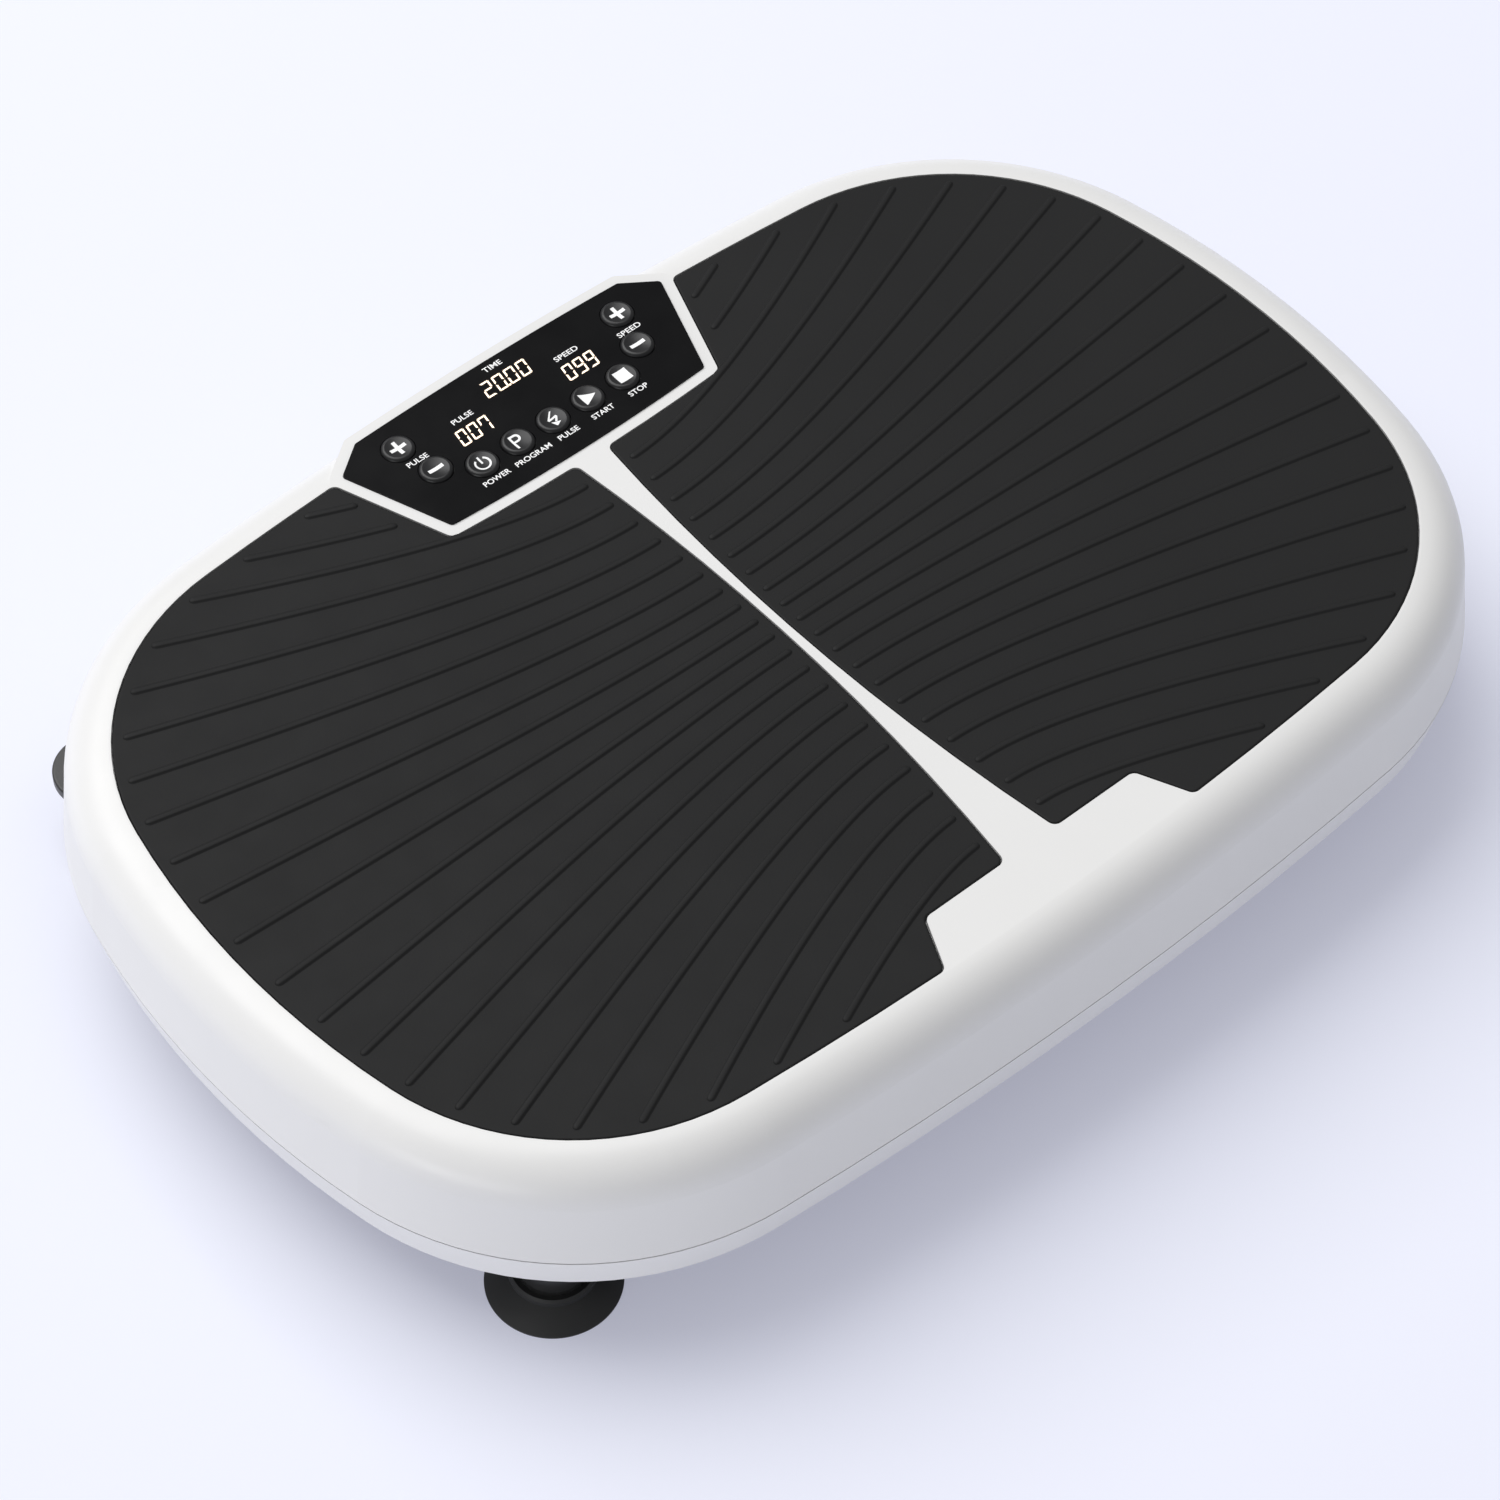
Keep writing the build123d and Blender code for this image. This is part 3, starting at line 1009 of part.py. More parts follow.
# ---------------------------------------------------------------- driver electronics
with BuildPart() as board_standoffs:
    with BuildSketch(Plane.XY.offset(PLATE_TOP_Z)):
        with Locations((BOARD_X, BOARD_Y)):
            with GridLocations(BOARD_LENGTH - 2 * STANDOFF_INSET, BOARD_WIDTH - 2 * STANDOFF_INSET, 2, 2):
                Circle(3)
    extrude(amount=STANDOFF_HEIGHT)
keep(board_standoffs, "board_standoffs")

with BuildPart() as driver_board:
    with BuildSketch(Plane.XY.offset(PLATE_TOP_Z + STANDOFF_HEIGHT)):
        with Locations((BOARD_X, BOARD_Y)):
            Rectangle(BOARD_LENGTH, BOARD_WIDTH)
    extrude(amount=BOARD_THICKNESS)
keep(driver_board, "driver_board")

COMPONENTS_Z = PLATE_TOP_Z + STANDOFF_HEIGHT + BOARD_THICKNESS
with BuildPart() as board_components:
    with BuildSketch(Plane.XY.offset(COMPONENTS_Z)):
        with Locations((BOARD_X + COMPONENT_X, BOARD_Y - 28)):
            Rectangle(26, 24)
        with Locations((BOARD_X - COMPONENT_X, BOARD_Y)):
            Rectangle(8, 60)
    extrude(amount=COMPONENT_HEIGHT)
    with BuildSketch(Plane.XY.offset(COMPONENTS_Z)):
        with Locations((BOARD_X + COMPONENT_X, BOARD_Y + 10), (BOARD_X + COMPONENT_X, BOARD_Y + 32)):
            Circle(CAPACITOR_RADIUS)
    extrude(amount=CAPACITOR_HEIGHT)
keep(board_components, "board_components")
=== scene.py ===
"""Looks of the vibration plate: materials, moulded mats, printed panel, light and camera.

Blender's lengths are metres. The constants under a heading that says millimetres, and the helpers
that build meshes from them, are in millimetres, and MM turns those into metres.
"""
from math import cos, hypot, pi, radians, sin, sqrt, tan

import bmesh
import bpy
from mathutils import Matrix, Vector


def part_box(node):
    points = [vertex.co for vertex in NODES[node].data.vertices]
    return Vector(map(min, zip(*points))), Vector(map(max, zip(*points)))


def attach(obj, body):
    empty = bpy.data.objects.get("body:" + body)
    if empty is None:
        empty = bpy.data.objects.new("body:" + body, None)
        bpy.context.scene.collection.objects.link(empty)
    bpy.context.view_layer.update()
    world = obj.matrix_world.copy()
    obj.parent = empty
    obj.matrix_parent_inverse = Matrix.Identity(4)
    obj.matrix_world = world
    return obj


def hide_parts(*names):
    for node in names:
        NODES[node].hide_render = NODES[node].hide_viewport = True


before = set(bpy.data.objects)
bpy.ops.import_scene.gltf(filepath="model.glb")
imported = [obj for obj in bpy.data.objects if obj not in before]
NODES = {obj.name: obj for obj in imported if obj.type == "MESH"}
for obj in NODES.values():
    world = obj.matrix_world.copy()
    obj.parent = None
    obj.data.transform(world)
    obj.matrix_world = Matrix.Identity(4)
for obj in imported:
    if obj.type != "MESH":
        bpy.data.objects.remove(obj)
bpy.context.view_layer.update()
MM = 0.001

# ---------------------------------------------------------------- camera, light (metres, degrees)
CAMERA_TARGET = (-0.0476, -0.0418, 0.098)
CAMERA_DISTANCE = 1.811
CAMERA_AZIMUTH = -40.69
CAMERA_ELEVATION = 51.26
CAMERA_LENS = 120.6              # lens and sensor in millimetres
CAMERA_SENSOR = 36.0
CAMERA_CLIP = 0.05
FLOOR_COLOUR = (0.58, 0.59, 0.63)
FLOOR_ROUGHNESS = 0.9
FLOOR_GLOW = (0.305, 0.312, 0.385)     # the floor's own light, which softens the shadows on it
FLOOR_SIZE = 14.0
WORLD_COLOUR = (0.98, 0.985, 1.0)
WORLD_STRENGTH = 0.34
# name: (where it stands, what it faces, width, height, watts)
LIGHTS = {
    "overhead_softbox": ((-0.6, 3.2, 5.2), (0.0, 0.0, 0.0), 5.5, 5.5, 362.0),
    "left_softbox": ((-4.3, -1.3, 0.6), (0.0, 0.0, 0.05), 3.0, 1.0, 38.0),
}

# ---------------------------------------------------------------- printed panel (millimetres)
LABEL_HEIGHT = 2.5
LABEL_WEIGHT = 0.012             # outward offset of the letters' outlines, in the font's own units
LABELS = {                       # name: (text, x, y, width)
    "time_label": ("TIME", 0.0, 165.4, 8.6),
    "pulse_display_label": ("PULSE", -25.4, 152.0, 9.6),
    "speed_display_label": ("SPEED", 25.6, 152.0, 11.0),
    "pulse_keys_label": ("PULSE", -51.8, 145.9, 9.6),
    "speed_keys_label": ("SPEED", 52.1, 145.9, 11.0),
    "power_label": ("POWER", -34.5, 119.5, 12.3),
    "program_label": ("PROGRAM", -16.8, 119.5, 16.8),
    "pulse_label": ("PULSE", 0.4, 119.5, 9.6),
    "start_label": ("START", 17.3, 119.5, 10.4),
    "stop_label": ("STOP", 34.8, 119.5, 8.9),
}
DIGIT_GROUPS = {                 # name: (text, x, y, width, height)
    "time_digits": ("20.00", 0.0, 157.0, 23.0, 8.0),
    "pulse_digits": ("007", -26.0, 143.7, 16.0, 8.0),
    "speed_digits": ("099", 26.0, 143.7, 16.0, 8.0),
}
DIGIT_SLANT = 10.0               # degrees
DIGIT_FILL = 0.76                # share of its pitch that a figure is wide
DIGIT_EDGE = 4.0                 # longest mesh edge in the figures
POINT_SIZE = 0.9                 # decimal point: a square, on the figures' base line
POINT_SHIFT = 0.1
SEGMENTS = {"0": "abcdef", "2": "abged", "7": "abcf", "9": "abcdfg"}
SEGMENT_WIDTH = 0.78
SEGMENT_GAP = 0.2
SEGMENT_BEVEL = 0.8              # of its width, at the ends of an upright segment
MIDDLE_EXTRA_GAP = 0.1           # the middle segment is a little shorter at each end
KEY_DISH = 0.7                   # depth of the dished top of a key
KEY_DISH_RADIUS = 5.2            # radius of the dish's rim
PRINT_LIFT = 0.02                # printed areas stand this far above the surface they are on
PRINT_THICKNESS = 0.04
PRINT_EDGE = 0.8                 # longest mesh edge in a print on a curved surface
PRINT_SPLITS = 6                 # rounds of halving that reach it

# ---------------------------------------------------------------- inlet and switch (millimetres)
PIN_PITCH = 8.6
PIN_SIDES = 24
PIN_PROFILE = [                  # radius, depth from the inlet's outer face
    (1.2, 11.6), (1.2, 3.0), (1.1, 2.5), (0.8, 2.1), (0.4, 1.95),
]
ROCKER_RADIUS = 5.0              # of its barrel, whose inner side is the inner end of its box
ROCKER_VALLEY = 3.2              # where its two flats meet, outwards of the pivot
ROCKER_FLATS = (1.3 / 6, 1.0 / 6)      # slopes of the upper and the lower flat
ROCKER_MARK_OFFSET = 1.9         # each mark's middle from the line where the flats meet
ROCKER_BAR = (0.5, 1.9)          # width, height
ROCKER_RING = (0.75, 0.4)        # middle radius, width

# ---------------------------------------------------------------- mats (millimetres)
RIB_COUNT = 11                   # in front of the middle of each mat, and as many behind it
RIB_MARGIN = 4.0                 # from the outer end of a rib to the edge of the mat
RIB_CLEARANCE = 3.1              # least distance from the middle of a rib to the edge of the mat
RIB_PITCH = (9.1, 0.27)          # start of a rib along Y: powers 1 and 2 of its number
RIB_FIRST_X = 5.5                # the starts follow an arc, nearest to the centre strip here
RIB_INNER_RADIUS = 940.0         # radius of that arc
RIB_HUB_X = 100.0                # the outer ends lie on rays from this hub
RIB_FAN = (10.0, 0.61, 0.0447)   # degrees of its ray: power 1, less 2, plus 3 of its number
RIB_PULL = 0.29                  # middle control point: share of the way to the end along X
RIB_RAY = (60.0, 400.0)          # the edge of the mat lies between these distances from the hub
RIB_RAY_HALVINGS = 40
RIB_SAMPLES = 56
RIB_FEWEST_POINTS = 7            # a rib with fewer points left inside the mat isn't made
RIB_END = 1.9                    # length of the rounded end
RIB_END_STATIONS = (0.02, 0.1, 0.3, 0.6, 1.0)   # shares of that length
RIB_SECTION = [(-1.8, 0.0), (-1.5, 0.1), (-1.15, 0.5), (-0.9, 0.66), (-0.5, 0.73), (0.0, 0.75),
               (0.5, 0.73), (0.9, 0.66), (1.15, 0.5), (1.5, 0.1), (1.8, 0.0)]
RIB_SUNK = 0.4                   # depth of a rib's foot below the mat's surface
MAT_EDGE_RADIUS = 0.7
MAT_EDGE_STEPS = 5
MAT_FACE_INSET = 0.5             # the flat face starts this far inside the rounded edge
MAT_TOP_Z = 98.0
SMOOTH_ANGLE = 35.0              # degrees; sharper edges stay sharp


# ================================================================ materials
def new_material(name, colour, roughness, metallic=0.0, **inputs):
    """A Principled material; inputs are its sockets, with an underscore for each space."""
    made = bpy.data.materials.new(name)
    made.use_nodes = True
    shader = made.node_tree.nodes["Principled BSDF"]
    shader.inputs["Base Color"].default_value = (*colour, 1.0)
    shader.inputs["Roughness"].default_value = roughness
    shader.inputs["Metallic"].default_value = metallic
    for socket, value in inputs.items():
        shader.inputs[socket.replace("_", " ")].default_value = value
    return made


def texture_space(made, stretch=(1.0, 1.0, 1.0)):
    """Object coordinates, stretched along the axes."""
    tree = made.node_tree
    place = tree.nodes.new("ShaderNodeTexCoord")
    mapping = tree.nodes.new("ShaderNodeMapping")
    mapping.inputs["Scale"].default_value = stretch
    tree.links.new(place.outputs["Object"], mapping.inputs["Vector"])
    return mapping.outputs["Vector"]


def noise(made, scale, detail=3.0, stretch=(1.0, 1.0, 1.0)):
    """A noise texture's factor."""
    tree = made.node_tree
    node = tree.nodes.new("ShaderNodeTexNoise")
    node.inputs["Scale"].default_value = scale
    node.inputs["Detail"].default_value = detail
    tree.links.new(texture_space(made, stretch), node.inputs["Vector"])
    return node.outputs["Fac"]


TEXTURE_LOW, TEXTURE_HIGH = 0.3, 0.7   # the part of a texture's range that is used


def spread(made, factor, low, high):
    """Map the middle of a texture's range onto low to high."""
    tree = made.node_tree
    node = tree.nodes.new("ShaderNodeMapRange")
    node.inputs["From Min"].default_value = TEXTURE_LOW
    node.inputs["From Max"].default_value = TEXTURE_HIGH
    node.inputs["To Min"].default_value = low
    node.inputs["To Max"].default_value = high
    tree.links.new(factor, node.inputs["Value"])
    return node.outputs["Result"]


def vary_colour(made, factor, dark, light):
    """Blend between two colours where the texture is low and high."""
    tree = made.node_tree
    ramp = tree.nodes.new("ShaderNodeValToRGB")
    stops = ramp.color_ramp.elements
    for stop, position, colour in zip(stops, (TEXTURE_LOW, TEXTURE_HIGH), (dark, light)):
        stop.position = position
        stop.color = (*colour, 1.0)
    tree.links.new(factor, ramp.inputs["Fac"])
    tree.links.new(ramp.outputs["Color"], tree.nodes["Principled BSDF"].inputs["Base Color"])


def vary_roughness(made, factor, low, high):
    """Roughness from low to high where the texture is low and high."""
    tree = made.node_tree
    shader = tree.nodes["Principled BSDF"]
    tree.links.new(spread(made, factor, low, high), shader.inputs["Roughness"])


def add_bump(made, height, distance):
    """Relief of a given height in metres, on top of any bump that is already there."""
    tree = made.node_tree
    shader = tree.nodes["Principled BSDF"]
    node = tree.nodes.new("ShaderNodeBump")
    node.inputs["Strength"].default_value = 1.0
    node.inputs["Distance"].default_value = distance
    if shader.inputs["Normal"].links:
        tree.links.new(shader.inputs["Normal"].links[0].from_socket, node.inputs["Normal"])
    tree.links.new(height, node.inputs["Height"])
    tree.links.new(node.outputs["Normal"], shader.inputs["Normal"])


def shade(colour, factor):
    """A colour made darker or lighter."""
    return tuple(channel * factor for channel in colour)


def moulded(name, colour, roughness, grain=2200.0, relief=0.00002, tone=0.03, **inputs):
    """Moulded plastic or rubber: slow tone drift, uneven polish and a fine grain."""
    made = new_material(name, colour, roughness, **inputs)
    vary_colour(made, noise(made, 9.0), shade(colour, 1 - tone), shade(colour, 1 + tone))
    vary_roughness(made, noise(made, 55.0, 5.0), roughness - 0.04, roughness + 0.04)
    add_bump(made, noise(made, grain, 2.0), relief)
    return made


def metal(name, colour, roughness, stretch, relief=0.00001, scale=900.0):
    """Machined or drawn metal with a direction in its scratches."""
    made = new_material(name, colour, roughness, metallic=1.0)
    marks = noise(made, scale, 4.0, stretch)
    vary_colour(made, marks, shade(colour, 0.88), shade(colour, 1.08))
    vary_roughness(made, marks, roughness - 0.07, roughness + 0.1)
    add_bump(made, marks, relief)
    return made


def glow(name, colour, strength):
    """Lit segments, with a fine unevenness in their brightness."""
    made = new_material(name, shade(colour, 0.8), 0.35)
    shader = made.node_tree.nodes["Principled BSDF"]
    shader.inputs["Emission Color"].default_value = (*colour, 1.0)
    grain = noise(made, 1800.0, 2.0)
    made.node_tree.links.new(spread(made, grain, strength * 0.85, strength * 1.1),
                             shader.inputs["Emission Strength"])
    return made


def circuit_board(name):
    """Green solder mask over copper tracks, with a weave of glass under it."""
    made = new_material(name, (0.01, 0.09, 0.035), 0.35)
    tree = made.node_tree
    tracks = tree.nodes.new("ShaderNodeTexBrick")
    tracks.inputs["Color1"].default_value = (0.012, 0.12, 0.045, 1.0)
    tracks.inputs["Color2"].default_value = (0.008, 0.08, 0.03, 1.0)
    tracks.inputs["Mortar"].default_value = (0.03, 0.2, 0.07, 1.0)
    tracks.inputs["Scale"].default_value = 90.0
    tracks.inputs["Mortar Size"].default_value = 0.03
    tree.links.new(texture_space(made), tracks.inputs["Vector"])
    tree.links.new(tracks.outputs["Color"], tree.nodes["Principled BSDF"].inputs["Base Color"])
    add_bump(made, tracks.outputs["Fac"], 0.00003)
    add_bump(made, noise(made, 1500.0), 0.00001)
    return made


def ribbed_belt(name):
    """Black rubber with fine lengthwise grooves."""
    made = moulded(name, (0.02, 0.02, 0.021), 0.6, tone=0.15)
    tree = made.node_tree
    wave = tree.nodes.new("ShaderNodeTexWave")
    wave.bands_direction = "Y"
    wave.inputs["Scale"].default_value = 320.0
    tree.links.new(texture_space(made), wave.inputs["Vector"])
    add_bump(made, wave.outputs["Fac"], 0.0002)
    return made


MATERIALS = {
    "white_plastic": moulded("white_plastic", (0.800, 0.796, 0.788), 0.36, tone=0.008,
                             relief=0.000008),
    "mat_rubber": moulded("mat_rubber", (0.0165, 0.0166, 0.0169), 0.52, grain=1600.0,
                          relief=0.00003, tone=0.06, Specular_IOR_Level=0.11),
    "panel_gloss": moulded("panel_gloss", (0.006, 0.006, 0.0065), 0.2, relief=0.000002, tone=0.1,
                           Specular_IOR_Level=0.08),
    "button_rubber": moulded("button_rubber", (0.010, 0.010, 0.011), 0.36, relief=0.00001,
                             tone=0.08, Specular_IOR_Level=0.4),
    "display_lens": moulded("display_lens", (0.03, 0.025, 0.025), 0.3, relief=0.000004),
    "circuit_board": circuit_board("circuit_board"),
    "component": moulded("component", (0.035, 0.035, 0.037), 0.45, tone=0.2),
    "zinc_steel": metal("zinc_steel", (0.62, 0.62, 0.60), 0.32, (1.0, 0.06, 1.0)),
    "black_paint": moulded("black_paint", (0.022, 0.022, 0.023), 0.5, grain=700.0,
                           relief=0.00008, tone=0.15),
    "bronze": metal("bronze", (0.55, 0.34, 0.16), 0.38, (1.0, 0.2, 1.0)),
    "black_plastic": moulded("black_plastic", (0.021, 0.021, 0.022), 0.42, grain=1500.0,
                             relief=0.00004),
    "foot_rubber": moulded("foot_rubber", (0.019, 0.0195, 0.0195), 0.5, grain=1800.0,
                           relief=0.00002, tone=0.1),
    "foot_plastic": moulded("foot_plastic", (0.013, 0.013, 0.0125), 0.2, relief=0.000004,
                            tone=0.1),
    "motor_case": metal("motor_case", (0.16, 0.16, 0.17), 0.45, (1.0, 0.05, 1.0)),
    "cast_alloy": metal("cast_alloy", (0.52, 0.53, 0.54), 0.55, (1.0, 1.0, 1.0),
                        relief=0.00005, scale=600.0),
    "belt_rubber": ribbed_belt("belt_rubber"),
}
# White print with a faint painted glow: its emission makes the marks a little brighter than the
# light falling on them would.
PRINT_WHITE_GLOW = moulded("print_white_painted_glow", (0.88, 0.88, 0.88), 0.45, relief=0.000003, tone=0.02,
                      Emission_Color=(1.0, 1.0, 1.0, 1.0), Emission_Strength=0.12)
DIGIT_GLOW = glow("digit_glow", (1.0, 0.80, 0.62), 1.25)
CONTACT_METAL = metal("contact_metal", (0.72, 0.70, 0.66), 0.25, (1.0, 0.1, 1.0))


def dress_nodes():
    """Give every CAD node the material of its slot."""
    for name, node in NODES.items():
        slot_name = node.material_slots[0].material.name.split(".")[0]
        for place in node.material_slots:
            place.material = MATERIALS[slot_name]


# ================================================================ mesh helpers
def finish_piece(builder, name, material_made, body):
    """Turn a bmesh in millimetres into a named piece that rides on a body."""
    bmesh.ops.recalc_face_normals(builder, faces=builder.faces)
    mesh = bpy.data.meshes.new(name)
    builder.to_mesh(mesh)
    builder.free()
    mesh.transform(((MM, 0, 0, 0), (0, MM, 0, 0), (0, 0, MM, 0), (0, 0, 0, 1)))
    mesh.materials.append(material_made)
    mesh.shade_smooth()
    mesh.set_sharp_from_angle(angle=radians(SMOOTH_ANGLE))
    piece = bpy.data.objects.new(name, mesh)
    bpy.context.scene.collection.objects.link(piece)
    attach(piece, body)
    return piece


def bridge(builder, rings):
    """Quads between each ring of vertices and the next."""
    for lower, upper in zip(rings, rings[1:]):
        for index in range(len(lower)):
            after = (index + 1) % len(lower)
            builder.faces.new((lower[index], lower[after], upper[after], upper[index]))


def in_order(items):
    """Items once each, as they come, because the order of a set changes from run to run."""
    return list(dict.fromkeys(items))


def print_faces(builder, polygons, height_at, longest=PRINT_EDGE):
    """Thin printed areas that follow a surface: polygons are lists of (x, y)."""
    for polygon in polygons:
        corners = [builder.verts.new((x, y, 0.0)) for x, y in polygon]
        faces = bmesh.ops.triangulate(builder, faces=[builder.faces.new(corners)])["faces"]
        for _ in range(PRINT_SPLITS):
            edges = in_order(edge for face in faces for edge in face.edges
                             if edge.calc_length() > longest)
            if not edges:
                break
            known = set(builder.faces)
            split = bmesh.ops.subdivide_edges(builder, edges=edges, cuts=1)
            fresh = [item for item in split["geom"] if isinstance(item, bmesh.types.BMFace)]
            fresh += [face for face in builder.faces if face not in known]
            faces = [face for face in in_order(faces + fresh) if face.is_valid]
            faces = bmesh.ops.triangulate(builder, faces=faces)["faces"]
    builder.normal_update()
    made = bmesh.ops.extrude_face_region(builder, geom=list(builder.faces))
    raised = {item for item in made["geom"] if isinstance(item, bmesh.types.BMVert)}
    for vertex in builder.verts:
        surface = height_at(vertex.co.x, vertex.co.y) + PRINT_LIFT
        vertex.co.z = surface + (PRINT_THICKNESS if vertex in raised else 0.0)


def inset_loop(points, inset):
    """Move a closed loop of (x, y) inwards; the loop runs counter-clockwise."""
    count = len(points)
    moved = []
    for index, (x, y) in enumerate(points):
        before = points[index - 1]
        after = points[(index + 1) % count]
        in_dir = Vector((x - before[0], y - before[1])).normalized()
        out_dir = Vector((after[0] - x, after[1] - y)).normalized()
        normal = Vector((-(in_dir.y + out_dir.y), in_dir.x + out_dir.x)).normalized()
        reach = inset / max(0.5, normal.dot(Vector((-in_dir.y, in_dir.x))))
        moved.append((x + normal.x * reach, y + normal.y * reach))
    return moved


def lower_outline(node_name):
    """The outline of a CAD node's flat underside as a counter-clockwise loop, in millimetres."""
    mesh = NODES[node_name].data
    low = min(vertex.co.z for vertex in mesh.vertices)

    def key(index):
        place = mesh.vertices[index].co
        return round(place.x / MM, 3), round(place.y / MM, 3)

    uses = {}
    for face in mesh.polygons:
        if all(mesh.vertices[index].co.z < low + 1e-5 for index in face.vertices):
            ring = [key(index) for index in face.vertices]
            for start, end in zip(ring, ring[1:] + ring[:1]):
                if start != end:
                    uses.setdefault(frozenset((start, end)), []).append((start, end))
    follow = {start: end for used in uses.values() if len(used) == 1 for start, end in used}
    first = next(iter(follow))
    loop = [first]
    while follow[loop[-1]] != first:
        loop.append(follow[loop[-1]])
    area = sum(a[0] * b[1] - b[0] * a[1] for a, b in zip(loop, loop[1:] + loop[:1]))
    return loop if area > 0 else loop[::-1]


# ================================================================ mats
def edge_distance(points, x, y):
    """Distance from (x, y) to the loop, negative outside it."""
    nearest = 1e9
    inside = False
    for (ax, ay), (bx, by) in zip(points, points[1:] + points[:1]):
        dx, dy = bx - ax, by - ay
        along = max(0.0, min(1.0, ((x - ax) * dx + (y - ay) * dy) / (dx * dx + dy * dy)))
        nearest = min(nearest, hypot(x - ax - along * dx, y - ay - along * dy))
        if (ay > y) != (by > y) and x < ax + (y - ay) * dx / dy:
            inside = not inside
    return nearest if inside else -nearest


def ray_end(points, hub_x, hub_y, angle, side):
    """Where a ray from the hub leaves the loop, less the rib margin."""
    way = Vector((side * cos(angle), sin(angle)))
    low, high = RIB_RAY
    for _ in range(RIB_RAY_HALVINGS):
        middle = (low + high) / 2
        if edge_distance(points, hub_x + way.x * middle, hub_y + way.y * middle) > RIB_MARGIN:
            low = middle
        else:
            high = middle
    return hub_x + way.x * low, hub_y + way.y * low


def rib_curve(points, side, end, index, centre_y):
    """Points along the middle of one rib, kept clear of the edge of the mat."""
    step = index + 0.5
    start_y = RIB_PITCH[0] * step + RIB_PITCH[1] * step**2
    start_x = side * (RIB_FIRST_X + start_y**2 / (2 * RIB_INNER_RADIUS))
    fan = radians(RIB_FAN[0] * step - RIB_FAN[1] * step**2 + RIB_FAN[2] * step**3)
    end_x, end_y = ray_end(points, side * RIB_HUB_X, centre_y, end * fan, side)
    start = Vector((start_x, centre_y + end * start_y))
    pull = Vector((start_x + RIB_PULL * (end_x - start_x), start.y))
    finish = Vector((end_x, end_y))
    curve = []
    for sample in range(RIB_SAMPLES + 1):
        t = sample / RIB_SAMPLES
        curve.append(start * (1 - t)**2 + pull * (2 * t * (1 - t)) + finish * t**2)
    return [point for point in curve if edge_distance(points, point.x, point.y) > RIB_CLEARANCE]


def sweep_rib(builder, curve, base_z):
    """A soft half-round rib along a curve, with rounded ends, sunk a little into the mat."""
    travelled = [0.0]
    for before, after in zip(curve, curve[1:]):
        travelled.append(travelled[-1] + (after - before).length)
    total = travelled[-1]
    section = [(RIB_SECTION[0][0], -RIB_SUNK)] + RIB_SECTION + [(RIB_SECTION[-1][0], -RIB_SUNK)]
    stations = sorted(set(travelled + [RIB_END * share for share in RIB_END_STATIONS]
                          + [total - RIB_END * share for share in RIB_END_STATIONS]))
    rings = []
    for station in stations[1:-1]:
        spot = max(index for index, reach in enumerate(travelled) if reach <= station)
        spot = min(spot, len(curve) - 2)
        way = curve[spot + 1] - curve[spot]
        point = curve[spot] + way * ((station - travelled[spot]) / way.length)
        across = Vector((-way.y, way.x)).normalized()
        reach = min(1.0, min(station, total - station) / RIB_END)
        swell = sqrt(1 - (1 - reach)**2)
        ring = []
        for offset, height in section:
            place = point + across * offset * swell
            lift = height * swell if height > 0 else height
            ring.append(builder.verts.new((place.x, place.y, base_z + lift)))
        rings.append(ring)
    bridge(builder, rings)
    builder.faces.new(rings[0])
    builder.faces.new(rings[-1][::-1])


def moulded_mat(node_name, side):
    """Foot mat: a slab with a rounded edge and a fan of half-round ribs."""
    outline = lower_outline(node_name)
    low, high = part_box(node_name)
    centre_y = (low.y + high.y) / 2 / MM
    builder = bmesh.new()
    rings = [[builder.verts.new((x, y, low.z / MM)) for x, y in outline]]
    for step in range(MAT_EDGE_STEPS + 1):
        turn = step / MAT_EDGE_STEPS * pi / 2
        inset = MAT_EDGE_RADIUS * (1 - cos(turn))
        z = MAT_TOP_Z - MAT_EDGE_RADIUS * (1 - sin(turn))
        rings.append([builder.verts.new((x, y, z)) for x, y in inset_loop(outline, inset)])
    inner = inset_loop(outline, MAT_EDGE_RADIUS + MAT_FACE_INSET)
    rings.append([builder.verts.new((x, y, MAT_TOP_Z)) for x, y in inner])
    bridge(builder, rings)
    builder.faces.new(rings[-1])
    builder.faces.new(rings[0][::-1])
    for end in (-1, 1):
        for index in range(RIB_COUNT):
            curve = rib_curve(outline, side, end, index, centre_y)
            if len(curve) >= RIB_FEWEST_POINTS:
                sweep_rib(builder, curve, MAT_TOP_Z)
    piece = finish_piece(builder, node_name + "_moulding", MATERIALS["mat_rubber"], "deck")
    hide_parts(node_name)


# ================================================================ printed marks
# The symbols below are drawn in millimetres about the middle of their key.
def bar(x, y, width, height):
    """A rectangle about (x, y)."""
    return [(x - width / 2, y - height / 2), (x + width / 2, y - height / 2),
            (x + width / 2, y + height / 2), (x - width / 2, y + height / 2)]


def arc_band(x, y, radius, width, start, end, steps=28):
    """Quads along an arc band; angles in degrees, counter-clockwise."""
    quads = []
    for step in range(steps):
        from_turn = radians(start + (end - start) * step / steps)
        to_turn = radians(start + (end - start) * (step + 1) / steps)
        inner, outer = radius - width / 2, radius + width / 2
        quads.append([(x + reach * cos(turn), y + reach * sin(turn)) for turn, reach in (
            (from_turn, inner), (from_turn, outer), (to_turn, outer), (to_turn, inner))])
    return quads


def plus_mark():
    return [bar(0, 0, 7.0, 1.6), bar(0, 2.15, 1.6, 2.7), bar(0, -2.15, 1.6, 2.7)]


def minus_mark():
    return [bar(0, 0, 6.7, 1.7)]


def power_mark():
    return arc_band(0, -0.3, 2.95, 0.8, 125, 415) + [bar(0, 1.6, 0.8, 3.6)]


